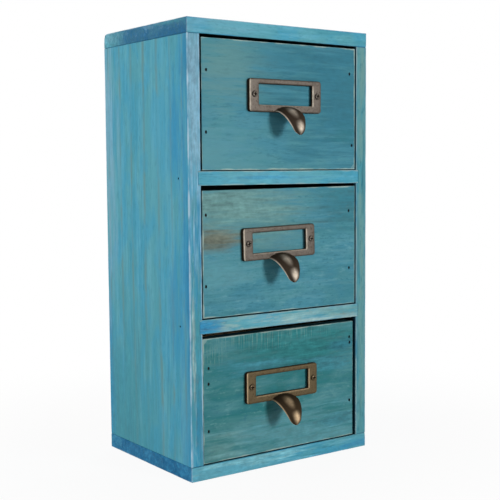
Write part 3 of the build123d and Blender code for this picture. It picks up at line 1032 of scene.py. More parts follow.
def make_screws(drawer, material, seed):
    """Makes the two screws of one pull, each left at its own turn."""
    settings = bpy.context.scene.chest_pulls
    dice = Random(seed)
    facing = Vector((0, -1, 0)).to_track_quat("Z", "Y")
    places = [
        (head, facing @ Quaternion((0, 0, 1), dice.uniform(0, pi / 2))) for head in screw_heads(drawer)
    ]
    node = f"{drawer}_drawer_pull_screws"
    mesh = grown(
        f"turned_{node}",
        shared_tree(screws_tree, "Pull screws"),
        places_mesh(f"{node}_places", places),
        head_radius=settings.screw_radius,
        head_height=settings.screw_height,
        material=material,
    )
    tops = np.array([vert.co.y for vert in mesh.vertices])
    depth = (tops - tops.min()) / settings.screw_height
    write_attribute(mesh, "rub", "FLOAT", SCREW_RUB * (1 - soft_step(depth, *SCREW_RUB_FADE)))
    # The hollow mark on the screws is painted shade in the recess and round the head
    write_attribute(mesh, "hollow", "FLOAT", soft_step(depth, *SCREW_SHADE))
    place_piece(f"turned_{node}", mesh, node)


def between(start, end, share):
    """The point a share of the way from one point in X and Z to another."""
    return tuple(low + (high - low) * share for low, high in zip(start, end))


def rounded_outline(width, height, corner, middle):
    """Points round a rectangle with rounded corners, in X and Z, from the lower right corner up."""
    corner = max(corner, LEAST_CORNER)
    across, up = width / 2 - corner, height / 2 - corner
    corners = ((across, -up), (across, up), (-across, up), (-across, -up))
    points = []
    for quarter, (x, z) in enumerate(corners):
        for step in range(CORNER_STEPS + 1):
            turn = (quarter - 1 + step / CORNER_STEPS) * pi / 2
            points.append((x + corner * cos(turn), middle + z + corner * sin(turn)))
        next_x, next_z = corners[(quarter + 1) % len(corners)]
        turn = quarter * pi / 2
        start = points[-1]
        end = (next_x + corner * cos(turn), middle + next_z + corner * sin(turn))
        steps = SHORT_STEPS if quarter % 2 == 0 else LONG_STEPS
        points.extend(between(start, end, step / steps) for step in range(1, steps))
    return points


def window_middle(settings):
    """How far the label window's middle is above the card frame's."""
    return settings.height / 2 - settings.top_rail - settings.window_height / 2


def card_frame_shape(settings):
    """The card frame as closed rings round its window, and each point's rub and hollow marks, painted
    highlights and shade among them.
    """
    rise = window_middle(settings)
    window_low = rise - settings.window_height / 2
    thick, ease = settings.thickness, settings.edge_round

    def outside(inset):
        width, height = settings.width - 2 * inset, settings.height - 2 * inset
        return rounded_outline(width, height, settings.corner - inset, 0.0)

    def window(outset):
        width, height = settings.window_width + 2 * outset, settings.window_height + 2 * outset
        return rounded_outline(width, height, WINDOW_CORNER + outset, rise)

    def eased(outline, angle):
        depth = thick - ease * (1 - sin(angle))
        return outline(ease * (1 - cos(angle))), -depth, sin(2 * angle), cos(angle) ** 2

    # The walls and lower bevels come out hollow and dark: patina, and painted shade along the frame's foot
    rings = [(outside(0), 0.0, 0.0, 1.0)]
    rings += [eased(outside, angle) for angle in EASE_ANGLES]
    for share in FACE_ROWS:
        row = [between(outer, inner, share) for outer, inner in zip(outside(ease), window(ease))]
        rings.append((row, -thick, 0.0, 0.0))
    rings += [eased(window, angle) for angle in reversed(EASE_ANGLES)]
    rings.append((window(0), 0.0, 0.0, 1.0))
    shape, marks = [], []
    for outline, y, rub, hollow in rings:
        shape.append([(x, y, z) for x, z in outline])
        for x, z in outline:
            # Painted highlights on the left-facing edges and on the window's sill; the other edges are only
            # worn
            outer_left = x < ease - settings.width / 2
            window_right = 0 <= x - settings.window_width / 2 < ease
            window_sill = abs(x) < settings.window_width / 2 and -ease < z - window_low <= 0
            share = LEFT_FACING_WEAR_AND_HIGHLIGHT if outer_left or window_right else SILL_WEAR_AND_HIGHLIGHT if window_sill else DULL_EDGE
            marks.append(((x, y, z), rub * share, hollow))
    return ring_shape(shape, closed=True), marks


def hook_section(half, crown, wall, rim):
    """One section across the hook: over its crown, round a rim, back under it and round the other rim."""

    def arc(half_width, rise, base):
        radius = (half_width**2 + rise**2) / (2 * rise)
        spread = atan2(half_width, radius - rise)
        steps = CROWN_POINTS - 1
        angles = [spread * (2 * step / steps - 1) for step in range(CROWN_POINTS)]
        return [(radius * sin(angle), base + rise - radius + radius * cos(angle)) for angle in angles]

    lift = RIM_LIFT * rim
    over = arc(half, crown - lift, lift)
    under = arc(half - rim, max(crown - wall - lift, LEAST_HOLLOW), lift)
    round_right = [(half - inwards * rim, up * rim) for inwards, up in RIM_ROUND]
    round_left = [(-x, z) for x, z in reversed(round_right)]
    return over + round_right + list(reversed(under)) + round_left


def hook_marks_at(along, across, on_top):
    """How rubbed and hollow the hook is: painted highlights near its tip, at its shoulder and on its left
    rim.
    """
    if not on_top:
        return (LEFT_RIM_HIGHLIGHT if across < UNDER_RIM and along > UNDER_RIM_START else 0.0), 1.0
    rub = LEFT_RIM_HIGHLIGHT if across < TOP_RIM else 0.0
    for middle_along, reach_along, middle_across, reach_across, strength in HOOK_WEAR_AND_HIGHLIGHT_SPOTS:
        near_along = max(0.0, 1 - abs(along - middle_along) / reach_along)
        near_across = max(0.0, 1 - abs(across - middle_across) / reach_across)
        rub = max(rub, strength * (near_along**SPOT_POWER * near_across**SPOT_POWER))
    return rub, TOP_HOLLOW - TOP_HOLLOW_FALL * along


def hook_shape(settings):
    """The scooped finger hook, lofted along a turn out of the lower rail, and its marked points."""
    root_height = settings.hook_rim / ROOT_RIMS - settings.height / 2
    root_depth = (settings.thickness + settings.slot_depth) / 2
    rings, marks = [], []
    for step in range(-1, HOOK_STEPS + 1):
        along = max(step, 0) / HOOK_STEPS
        turn = along * HOOK_TURN_SHARE * pi / 2
        half = settings.hook_width / 2 * (1 - NARROWING * along**NARROWING_POWER)
        fall = max(0.0, (along - CROWN_FALL_START) / CROWN_FALL_LENGTH)
        crown = settings.hook_crown * (1 - CROWN_FALL * fall**2)
        section = hook_section(half, crown, settings.hook_wall, settings.hook_rim)
        tip = max(0.0, (along - TIP_START) / (1 - TIP_START))
        shrink = max(sqrt(max(1 - tip**2, 0.0)), TIP_LEAST)
        middle = crown / 2
        depth = root_depth if step < 0 else settings.thickness + settings.hook_reach * sin(turn)
        low = root_height - settings.hook_drop * (1 - cos(turn))
        ring = []
        for x, rise in section:
            rise = middle + (rise - middle) * shrink
            ring.append((x * shrink, -depth - rise * sin(turn), low + rise * cos(turn)))
        rings.append(ring)
        for number, ((x, rise), point) in enumerate(zip(section, ring)):
            marks.append((point, *hook_marks_at(along, x / half, number < CROWN_POINTS)))
    return ring_shape(rings, closed=False), marks


def ring_shape(rings, closed):
    """A bmesh skinned over rings of equal counts, joined end to end or capped."""
    shape = bmesh.new()
    rows = [[shape.verts.new(point) for point in ring] for ring in rings]
    pairs = list(zip(rows, rows[1:] + rows[:1])) if closed else list(zip(rows, rows[1:]))
    for first, second in pairs:
        for here in range(len(first)):
            after = (here + 1) % len(first)
            shape.faces.new((first[here], first[after], second[after], second[here]))
    if not closed:
        shape.faces.new(reversed(rows[0]))
        shape.faces.new(rows[-1])
    bmesh.ops.recalc_face_normals(shape, faces=shape.faces)
    return shape


def cast_pull_mesh(settings):
    """The whole casting about the middle of its card frame, with its back on Y = 0."""
    frame_shape, frame_marks = card_frame_shape(settings)
    curved_shape, hook_marks = hook_shape(settings)
    casting = loose_object("pull_casting", frame_shape)
    hook = loose_object("pull_hook", curved_shape)
    slot_shape = bmesh.new()
    window_low = settings.height / 2 - settings.top_rail - settings.window_height
    reach = settings.window_width / 2 + settings.slot_lip
    add_box(
        slot_shape,
        (-reach, -settings.slot_depth, window_low - settings.slot_lip),
        (reach, OVERRUN, settings.height / 2 + OVERRUN),
    )
    slot = loose_object("pull_slot", slot_shape)
    for operation, tool in (("UNION", hook), ("DIFFERENCE", slot)):
        cut = casting.modifiers.new(operation, "BOOLEAN")
        cut.operation, cut.object, cut.solver = operation, tool, "EXACT"
    mesh = settled_mesh(casting)
    for scratch in (casting, hook, slot):
        bpy.data.objects.remove(scratch)
    drop_slivers(mesh)
    mesh.shade_smooth()
    mesh.set_sharp_from_angle(angle=SMOOTH_ANGLE)
    mark_casting(mesh, frame_marks + hook_marks)
    return mesh


def drop_slivers(mesh):
    """Closes up the faces of no area that a cut leaves."""
    shape = bmesh.new()
    shape.from_mesh(mesh)
    bmesh.ops.dissolve_degenerate(shape, dist=MERGE, edges=shape.edges)
    shape.to_mesh(mesh)
    shape.free()


def mark_casting(mesh, marks):
    """Stores on each point of a casting the rub and hollow marks of the nearest marked point, painted
    highlights and shade among them.
    """
    tree = KDTree(len(marks))
    for number, (point, rub, hollow) in enumerate(marks):
        tree.insert(point, number)
    tree.balance()
    nearest = [marks[tree.find(vert.co)[1]] for vert in mesh.vertices]
    write_attribute(mesh, "rub", "FLOAT", [rub for point, rub, hollow in nearest])
    write_attribute(mesh, "hollow", "FLOAT", [hollow for point, rub, hollow in nearest])


def make_pull(drawer, casting, material):
    """Sets one casting on its drawer front, squared to its two screws."""
    settings = bpy.context.scene.chest_pulls
    node = f"{drawer}_drawer_pull"
    left, right = screw_heads(drawer)
    tilt = Matrix.Rotation(-atan2(right.z - left.z, right.x - left.x), 4, "Y")
    onto_screws = Matrix.Translation((0, 0, -window_middle(settings)))
    middle = (left + right) / 2
    middle.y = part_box(node)[1][Y]
    mesh = casting.copy()
    mesh.transform(Matrix.Translation(middle) @ tilt @ onto_screws)
    mesh.materials.clear()
    mesh.materials.append(material)
    place_piece(f"cast_{node}", mesh, node)


def figure_group(name):
    """Shader group: the figure of the wood, from its place along and across the grain."""
    outputs = dict.fromkeys((*FIGURE, "Height"), "Float")
    tree, given, result = new_tree("ShaderNodeTree", name, {"Grain": "Vector"}, outputs)
    place = given["Grain"]
    broad = noise(tree, vectors(tree, "DIVIDE", place, BROAD_STREAK), detail=2.0, roughness=0.6)
    narrow = noise(tree, vectors(tree, "DIVIDE", place, STREAK), detail=2.0, roughness=0.6)
    both = times(tree, maths(tree, "ADD", broad, narrow), 0.5)
    streaks = maths(tree, "SUBTRACT", both, 0.5)
    fine = noise(tree, vectors(tree, "DIVIDE", place, FLECK), detail=3.0, roughness=0.65)
    mottle = noise(tree, vectors(tree, "DIVIDE", place, MOTTLE), detail=3.0, roughness=0.65)
    flecks = maths(tree, "MULTIPLY_ADD", maths(tree, "ADD", fine, mottle), FLECK_STRENGTH, -FLECK_STRENGTH)
    clouds = noise(tree, vectors(tree, "DIVIDE", place, CLOUD), detail=3.0, warp=0.6)
    feeds = {0: place, 1: GROWTH_ACROSS}
    across = add_node(tree, "ShaderNodeVectorMath", feeds, operation="DOT_PRODUCT")
    wander = noise(tree, vectors(tree, "MULTIPLY", place, GROWTH_WANDERS_PER_METRE), detail=2.0)
    wandered = maths(tree, "MULTIPLY_ADD", wander, GROWTH_WANDER, across.outputs["Value"])
    from_line = maths(tree, "PINGPONG", maths(tree, "DIVIDE", wandered, GROWTH_SPACING), 0.5)
    broken = ramp(tree, clouds, *BROKEN_GROWTH)
    growth = times(tree, ramp(tree, from_line, GROWTH_WIDTH, 0.0), broken)
    pores = ramp(tree, noise(tree, vectors(tree, "DIVIDE", place, PORE), detail=2.0), *PORE_RANGE)
    ridges = maths(tree, "ADD", streaks, flecks)
    height = maths(tree, "MULTIPLY_ADD", pores, PORE_HEIGHT, ridges)
    for output, value in zip(outputs, (streaks, flecks, clouds, growth, pores, height)):
        feed(tree, result[output], value)
    return tree


def stain_group(name):
    """Shader group: stain laid over the figure of the wood, deeper and paler along the grain."""
    colours = ("Body", "Other", "Deep", "Pale", "Growth Colour", "Pore Colour")
    numbers = ("Contrast", "Fleck Strength", "Growth Strength", "Pore Strength", *FIGURE)
    inputs = dict.fromkeys(colours, "Color") | dict.fromkeys(numbers, "Float")
    tree, given, result = new_tree("ShaderNodeTree", name, inputs, {"Colour": "Color"})
    coat = blend(tree, ramp(tree, given["Clouds"], *CLOUD_RANGE), given["Body"], given["Other"])
    for tone, side in (("Pale", -1.0), ("Deep", 1.0)):
        streaks = ramp(tree, given["Streaks"], 0.0, STREAK_END * side)
        flecks = ramp(tree, given["Flecks"], FLECK_START * side, FLECK_END * side)
        coat = blend(tree, times(tree, streaks, given["Contrast"]), coat, given[tone])
        coat = blend(tree, times(tree, flecks, given["Fleck Strength"]), coat, given[tone])
    pores = times(tree, given["Pores"], given["Pore Strength"])
    coat = blend(tree, pores, coat, given["Pore Colour"])
    lines = times(tree, given["Growth"], given["Growth Strength"])
    feed(tree, result["Colour"], blend(tree, lines, coat, given["Growth Colour"]))
    return tree


def rubbed_group(name):
    """Shader group: where a board's edges are rubbed pale."""
    inputs = {"Edge": "Float", "Grain": "Vector", "Width": "Float", "Amount": "Float"}
    tree, given, result = new_tree("ShaderNodeTree", name, inputs, {"Mask": "Float"})
    uneven = noise(tree, scaled(tree, given["Grain"], RUBS_PER_METRE), detail=3.0, roughness=0.6)
    width = times(tree, given["Width"], ramp(tree, uneven, *RUB_WIDTHS))
    near = ramp(tree, given["Edge"], width, times(tree, width, RUB_FULL))
    amount = times(tree, given["Amount"], ramp(tree, uneven, *RUB_AMOUNTS))
    feed(tree, result["Mask"], times(tree, near, amount))
    return tree


def patch_group(name):
    """Shader group: a soft ragged patch round a place on a piece."""
    inputs = dict.fromkeys(("Place", "Middle", "Reach", "Grain"), "Vector") | {"Ragged": "Float"}
    tree, given, result = new_tree("ShaderNodeTree", name, inputs, {"Mask": "Float"})
    from_middle = vectors(tree, "SUBTRACT", given["Place"], given["Middle"])
    offset = vectors(tree, "DIVIDE", from_middle, given["Reach"])
    far = length_of(tree, offset)
    rough = noise(tree, vectors(tree, "DIVIDE", given["Grain"], FRAY), detail=3.0, roughness=0.6)
    fray = times(tree, maths(tree, "SUBTRACT", rough, 0.5), FRAY_STRENGTH)
    frayed = maths(tree, "MULTIPLY_ADD", fray, given["Ragged"], far)
    feed(tree, result["Mask"], ramp(tree, frayed, *PATCH_RANGE))
    return tree


def patina_group(name):
    """Shader group: dark patina and painted shade in the hollows of cast metal, bright metal and painted
    highlights on its rubbed edges.
    """
    inputs = {"Place": "Vector", "Rub": "Float", "Hollow": "Float"}
    inputs |= dict.fromkeys(("Metal", "Patina", "Polished"), "Color")
    outputs = {"Colour": "Color", "Roughness": "Float", "Metallic": "Float", "Height": "Float"}
    tree, given, result = new_tree("ShaderNodeTree", name, inputs, outputs)
    clouds = noise(tree, scaled(tree, given["Place"], CLOUDS_PER_METRE), detail=4.0, roughness=0.65)
    specks = noise(tree, scaled(tree, given["Place"], SPECKS_PER_METRE), detail=2.0, roughness=0.6)
    dark = times(tree, ramp(tree, clouds, *PATINA_CLOUDS), PATINA_CLOUD_STRENGTH)
    dark = maths(tree, "MAXIMUM", dark, ramp(tree, specks, *PATINA_SPECKS))
    dark = maths(tree, "MAXIMUM", dark, times(tree, given["Hollow"], HOLLOW_STRENGTH))
    coat = blend(tree, dark, given["Metal"], given["Patina"])
    worn = ramp(tree, clouds, *WORN_CLOUDS)
    bright = times(tree, ramp(tree, given["Rub"], *RUB_RANGE), worn)
    feed(tree, result["Colour"], blend(tree, bright, coat, given["Polished"]))
    feed(tree, result["Roughness"], maths(tree, "MULTIPLY_ADD", dark, *DARK_ROUGHNESS))
    feed(tree, result["Metallic"], maths(tree, "MULTIPLY_ADD", bright, *BRIGHT_METALNESS))
    feed(tree, result["Height"], specks)
    return tree


def use_group(tree, build, name, **values):
    """A shader group's outputs, with its inputs given by name."""
    node = add_node(tree, "ShaderNodeGroup", node_tree=shared_tree(build, name))
    for key, value in values.items():
        feed(tree, node.inputs[key.replace("_", " ").title()], value)
    return node.outputs


def attribute(tree, name, output="Fac"):
    """An attribute of the piece, as a number or a vector."""
    return add_node(tree, "ShaderNodeAttribute", attribute_name=name).outputs[output]


def object_place(tree):
    """Each point's place on its piece, in metres."""
    return add_node(tree, "ShaderNodeTexCoord").outputs["Object"]


def add_relief(tree, shader, bump, height):
    """Bumps a shader's surface by a height."""
    node = add_node(tree, "ShaderNodeBump", {**bump, "Height": height})
    feed(tree, shader.inputs["Normal"], node.outputs[0])


def new_material(name):
    """A material with only a Principled shader and its output."""
    material = bpy.data.materials.new(name)
    material.use_nodes = True
    tree = material.node_tree
    tree.nodes.clear()
    shader = add_node(tree, "ShaderNodeBsdfPrincipled")
    add_node(tree, "ShaderNodeOutputMaterial", {"Surface": shader.outputs[0]})
    return material, tree, shader


def lay_coat(tree, coat, lines, pores, figure, grain, place):
    """The colour of one coat of stain with its patches."""
    shade = use_group(
        tree,
        stain_group,
        "Stain coat",
        body=coat.body,
        other=coat.other,
        deep=coat.deep,
        pale=coat.pale,
        growth_colour=lines,
        pore_colour=pores,
        contrast=coat.contrast,
        fleck_strength=coat.flecks,
        growth_strength=coat.growth,
        pore_strength=PORE_STRENGTH,
        **{name.lower(): figure[name] for name in FIGURE},
    )["Colour"]
    figured = maths(tree, "ADD", figure["Streaks"], figure["Flecks"])
    tone = maths(tree, "MULTIPLY_ADD", figured, PATCH_FIGURE * coat.flecks, 1.0)
    for patch in coat.patches:
        mask = use_group(
            tree,
            patch_group,
            "Soft patch",
            place=place,
            middle=patch.middle,
            reach=patch.reach,
            grain=grain,
            ragged=patch.ragged,
        )["Mask"]
        mask = times(tree, mask, patch.strength)
        if patch.marks:
            ticks = noise(tree, vectors(tree, "DIVIDE", place, patch.marks), detail=2.0)
            mask = times(tree, mask, ramp(tree, ticks, *TICK_RANGE))
        shade = blend(tree, mask, shade, scaled(tree, tuple(patch.colour), tone))
    return shade


def wood_finish(name, face, edge, end, lines, pores, rubbed, rub_amount, rub_width):
    """A wood material: a coat each on faces, narrow edges and end grain, rubbed edges and painted shade."""
    material, tree, shader = new_material(name)
    grain = attribute(tree, "grain", "Vector")
    place = object_place(tree)
    figure = use_group(tree, figure_group, "Wood figure", grain=grain)
    shade = lay_coat(tree, face, lines, pores, figure, grain, place)
    for mask, coat in (("narrow", edge), ("end", end)):
        over = lay_coat(tree, coat, lines, pores, figure, grain, place)
        shade = blend(tree, attribute(tree, mask), shade, over)
    rub = use_group(
        tree,
        rubbed_group,
        "Rubbed edges",
        edge=attribute(tree, "edge"),
        grain=grain,
        width=rub_width,
        amount=rub_amount,
    )["Mask"]
    shade = blend(tree, rub, shade, rubbed)
    # Painted shade where the dark mask is set
    shade = blend(tree, attribute(tree, "dark"), shade, bpy.context.scene.chest_stain.shade)
    feed(tree, shader.inputs["Base Color"], shade)
    feed(tree, shader.inputs["Roughness"], ramp(tree, figure["Streaks"], *WOOD_ROUGHNESS))
    shader.inputs["Specular IOR Level"].default_value = WOOD_SHINE
    add_relief(tree, shader, WOOD_BUMP, figure["Height"])
    return material


# Coats that several boards share
BLUE_FACE = Coat("blue", "turquoise", "deep_blue", "pale_blue", growth=0.4)
BLUE_EDGE = Coat("blue", "turquoise", "sea_green", "pale_blue", contrast=0.7, flecks=0.8)
SOAKED_END = Coat("navy", "navy", "navy", "deep_blue")
# Drawer front edges: dark stain that is also painted shade in the gaps round the fronts
FRONT_EDGE_STAIN_AND_SHADE = Coat("dark_edge", "dark_edge", "shade", "deep_teal", contrast=0.4, flecks=0.5)

# Sides, deeper along the front, with a streaky front edge
SIDE_FACE = Coat(
    "blue",
    "turquoise",
    "sea_green",
    "pale_blue",
    contrast=0.4,
    flecks=0.4,
    growth=0.75,
    patches=(
        Patch("deep_blue", (0.5, 0.02, 0.5), (FAR, 0.014, FAR), 0.5, 0.9),
        Patch("pale_blue", (0.5, 0.08, 0.60), (FAR, 0.007, FAR), 0.22, 1.2),
        Patch("navy", (0.5, 0.00, 0.40), (FAR, 0.006, 0.080), 0.45, 0.9),
        Patch("navy", (0.5, 0.03, 0.94), (FAR, 0.010, 0.030), 0.35, 0.9),
        Patch("deep_blue", (0.5, 0.12, 0.80), (FAR, 0.016, 0.050), 0.6, 0.9),
        Patch("deep_blue", (0.5, 0.12, 0.35), (FAR, 0.018, 0.070), 0.5, 0.9),
        Patch("pale_blue", (0.5, 0.33, 0.72), (FAR, 0.020, 0.14), 0.2, 0.8),
        Patch("sea_green", (0.5, 0.8, 0.05), (FAR, 0.075, 0.13), 0.85, 0.5),
        Patch("deep_blue", (0.5, 1.0, 0.15), (FAR, 0.010, 0.12), 0.6, 0.5),
        Patch("lavender", (0.5, 1.0, 0.80), (FAR, 0.024, 0.16), 0.65, 0.6),
    ),
)
LEFT_EDGE = Coat(
    "blue",
    "sea_green",
    "deep_blue",
    "lavender",
    contrast=0.7,
    flecks=0.85,
    patches=(
        Patch("lavender", (0.5, 0.0, 0.92), (FAR, FAR, 0.16), 0.9, 0.8),
        Patch("sea_green", (0.4, 0.0, 0.25), (FAR, FAR, 0.070), 0.7, 0.6),
        Patch("cream", (0.25, 0.0, 0.30), (0.0022, FAR, 0.050), 0.7, 1.0),
        Patch("navy", (0.7, 0.0, 0.10), (0.0040, FAR, 0.045), 0.35, 0.8),
    ),
)
RIGHT_EDGE = Coat("edge_green", "sea_green", "deep_teal", "olive", contrast=0.6, flecks=0.8)

# Top and bottom boards, soaked dark into their ends
TOP_EDGE = BLUE_EDGE._replace(
    patches=(
        Patch("pale_blue", (0.1, 0.0, 0.5), (0.09, FAR, FAR), 0.25, 0.6),
        Patch("lavender", (0.0, 0.0, 0.5), (0.06, FAR, FAR), 0.3, 0.6),
    ),
)
TOP_END = Coat(
    "slate",
    "slate",
    "ink",
    "sea_green",
    contrast=0.7,
    flecks=0.9,
    patches=(
        Patch("ink", (0.0, 0.58, 0.4), (FAR, 0.030, 0.014), 0.6, 0.3),
        Patch("ink", (0.0, 0.1, 0.1), (FAR, 0.060, 0.011), 0.7, 0.3),
        Patch("turquoise", (0.0, 1.0, 0.5), (FAR, 0.036, FAR), 0.9, 0.3),
        Patch("lavender", (0.0, 1.0, 0.7), (FAR, 0.030, 0.008), 0.35, 0.5),
        Patch("sea_green", (0.0, 0.2, 0.95), (FAR, 0.03, 0.003), 0.6, 0.4),
        Patch("ink", (0.0, 0.3, 0.4), (FAR, 0.07, 0.012), 0.45, 0.5, BLOTCH),
        Patch("lavender", (0.0, 0.4, 0.9), (FAR, 0.07, 0.006), 0.3, 0.8, BLOTCH),
    ),
)
BOTTOM_EDGE = BLUE_EDGE._replace(
    patches=(
        Patch("pale_blue", (0.2, 0.0, 0.5), (0.10, FAR, FAR), 0.75, 0.6),
        Patch("foam", (0.45, 0.0, 0.75), (0.10, FAR, 0.006), 0.8, 1.0),
        Patch("deep_blue", (0.95, 0.0, 0.3), (0.04, FAR, 0.006), 0.6, 0.8),
    ),
)
BOTTOM_END = Coat(
    "navy",
    "navy",
    "ink",
    "deep_blue",
    contrast=0.8,
    flecks=1.0,
    patches=(
        Patch("ink", (0.0, 0.5, 0.5), (FAR, 0.09, 0.012), 0.6, 0.5, BLOTCH),
        Patch("blue", (0.0, 0.95, 0.7), (FAR, 0.016, 0.008), 0.4, 0.8),
    ),
)

# Front edges of the shelves, the lower one with cream patches
UPPER_SHELF_EDGE = BLUE_EDGE._replace(
    contrast=0.5,
    patches=(
        Patch("pale_blue", (0.4, 0.0, 0.5), (0.06, FAR, FAR), 0.5, 0.6),
        Patch("deep_blue", (0.45, 0.0, 0.5), (0.035, FAR, 0.0015), 0.45, 0.8),
    ),
)
LOWER_SHELF_EDGE = BLUE_EDGE._replace(
    pale="cream",
    contrast=0.5,
    patches=(
        Patch("foam", (0.40, 0.0, 0.5), (0.06, FAR, FAR), 0.2, 0.8),
        Patch("deep_blue", (0.03, 0.0, 0.4), (0.026, FAR, 0.008), 0.9, 0.8),
        Patch("cream", (0.65, 0.0, 0.75), (0.075, FAR, 0.004), 0.4, 1.0),
        Patch("edge_green", (0.90, 0.0, 0.6), (0.040, FAR, 0.008), 0.6, 0.6),
        Patch("cream", (0.74, 0.0, 0.0), (0.060, FAR, 0.0050), 0.85, 0.4),
    ),
)

# Drawer fronts, each with its own stain, each darker towards its right end
TOP_FRONT = Coat(
    "top_front",
    "middle_front",
    "deep_teal",
    "pale_teal",
    contrast=0.15,
    flecks=0.3,
    growth=0.1,
    patches=(
        Patch("pale_teal", (0.02, 0, 0.10), (0.060, FAR, 0.040), 0.45, 0.4),
        Patch("olive", (0.18, 0, 0.77), (0.050, FAR, 0.032), 0.5, 0.6),
        Patch("deep_top", (0.95, 0, 0.60), (0.090, FAR, 0.080), 0.85, 0.5),
        Patch("deep_top", (0.55, 0, 0.88), (0.060, FAR, 0.024), 0.4, 0.5),
        Patch("green", (0.92, 0, 0.28), (0.016, FAR, 0.008), 0.3, 0.6),
        # Painted shade on the wood seen through the pull's label window
        Patch("deep_top", (0.52, 0, 0.52), (0.036, FAR, 0.014), 0.5, 0.4),
    ),
)
MIDDLE_FRONT = Coat(
    "middle_front",
    "top_front",
    "deep_teal",
    "pale_teal",
    contrast=0.35,
    flecks=0.75,
    growth=0.1,
    patches=(
        Patch("olive", (0.18, 0, 0.86), (0.095, FAR, 0.030), 0.85, 0.45),
        Patch("olive", (0.45, 0, 0.60), (0.040, FAR, 0.014), 0.4, 0.5),
        Patch("brown", (0.07, 0, 0.60), (0.036, FAR, 0.011), 0.95, 0.35),
        Patch("deep_teal", (0.95, 0, 0.88), (0.050, FAR, 0.030), 0.7, 0.5),
        Patch("deep_teal", (0.95, 0, 0.12), (0.040, FAR, 0.030), 0.3, 0.6),
        Patch("pale_teal", (0.05, 0, 0.34), (0.050, FAR, 0.018), 0.45, 0.5),
    ),
)
BOTTOM_FRONT = Coat(
    "bottom_front",
    "green",
    "deep_teal",
    "edge_green",
    contrast=0.3,
    flecks=0.7,
    growth=0.1,
    patches=(
        Patch("green", (0.62, 0, 0.80), (0.080, FAR, 0.036), 1.0, 0.4),
        Patch("pale_teal", (0.65, 0, 0.09), (0.120, FAR, 0.028), 0.55, 0.6),
        Patch("deep_teal", (0.85, 0, 0.16), (0.030, FAR, 0.006), 0.6, 0.8),
        Patch("top_front", (0.33, 0, 0.72), (0.050, FAR, 0.009), 0.6, 0.6),
        Patch("top_front", (0.85, 0, 0.66), (0.040, FAR, 0.010), 0.5, 0.5),
        Patch("deep_top", (0.92, 0, 0.80), (0.020, FAR, 0.008), 0.6, 0.4),
        Patch("olive", (0.10, 0, 0.10), (0.030, FAR, 0.015), 0.5, 0.6),
        Patch("olive", (0.42, 0, 0.96), (0.075, FAR, 0.011), 0.5, 0.2, (0.0011, FAR, 0.03)),
        Patch("olive", (0.06, 0, 0.86), (0.014, FAR, 0.012), 0.5, 0.2, (0.0012, FAR, 0.012)),
    ),
)

# Every stained board; the others are bare
FINISHES = {
    "left_side": Finish(SIDE_FACE, LEFT_EDGE, SOAKED_END, "bloom", 0.9, 0.0010),
    "right_side": Finish(SIDE_FACE, RIGHT_EDGE, SOAKED_END, "cream", 0.6, 0.0010),
    "top_board": Finish(BLUE_FACE, TOP_EDGE, TOP_END, "bloom", 0.45, 0.0008),
    "bottom_board": Finish(BLUE_FACE, BOTTOM_EDGE, BOTTOM_END, "bloom", 0.45, 0.0008),
    "upper_shelf": Finish(BLUE_FACE, UPPER_SHELF_EDGE, SOAKED_END, "cream", 0.6, 0.0011),
    "lower_shelf": Finish(BLUE_FACE, LOWER_SHELF_EDGE, SOAKED_END, "cream", 0.6, 0.0011),
    "top_drawer_front": Finish(TOP_FRONT, FRONT_EDGE_STAIN_AND_SHADE, FRONT_EDGE_STAIN_AND_SHADE, "cream", 0.85, 0.0012),
    "middle_drawer_front": Finish(MIDDLE_FRONT, FRONT_EDGE_STAIN_AND_SHADE, FRONT_EDGE_STAIN_AND_SHADE, "cream", 0.85, 0.0012),
    "bottom_drawer_front": Finish(BOTTOM_FRONT, FRONT_EDGE_STAIN_AND_SHADE, FRONT_EDGE_STAIN_AND_SHADE, "cream", 0.85, 0.0012),
}


def at(node, across, back, up):
    """A place on a board, as shares of its width, depth and height."""
    low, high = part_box(node)
    shares = enumerate((across, back, up))
    return tuple(low[axis] + share * (high[axis] - low[axis]) for axis, share in shares)


def resolved(coat, node):
    """A coat with its colours looked up and its patches placed on a board."""
    stain = bpy.context.scene.chest_stain
    colours = {key: getattr(stain, getattr(coat, key)) for key in ("body", "other", "deep", "pale")}
    patches = [
        patch._replace(colour=getattr(stain, patch.colour), middle=at(node, *patch.middle))
        for patch in coat.patches
    ]
    return coat._replace(**colours, patches=patches)


def stained_finish(node):
    """The stained wood of one board."""
    stain = bpy.context.scene.chest_stain
    finish = FINISHES[node]
    coats = [resolved(coat, node) for coat in (finish.face, finish.edge, finish.end)]
    rub = getattr(stain, finish.rubbed), finish.rub_amount, finish.rub_width
    return wood_finish(f"stained_{node}", *coats, stain.growth, stain.pore, *rub)


def bare_finish(name, body):
    """Unstained wood, with painted shade on it just behind the drawer fronts."""
    stain = bpy.context.scene.chest_stain
    deep = tuple(BARE_DEEP * part for part in body)
    pale = tuple(min(1.0, BARE_PALE * part) for part in body)
    behind_fronts = at("top_drawer_front", 0.5, 1.0, 0.5)
    # Painted shade on the bare boards just behind the drawer fronts, seen through the gaps
    shade_behind_fronts = Patch(stain.shade, behind_fronts, SHADE_BEHIND_FRONTS_REACH, SHADE_BEHIND_FRONTS_STRENGTH, SHADE_BEHIND_FRONTS_RAGGED)
    face = Coat(body, body, deep, pale, growth=0.6, patches=(shade_behind_fronts,))
    end = Coat(deep, deep, stain.bare_growth, body, patches=(shade_behind_fronts,))
    lines = stain.bare_growth
    return wood_finish(name, face, face, end, lines, lines, pale, BARE_RUB_AMOUNT, BARE_RUB_WIDTH)


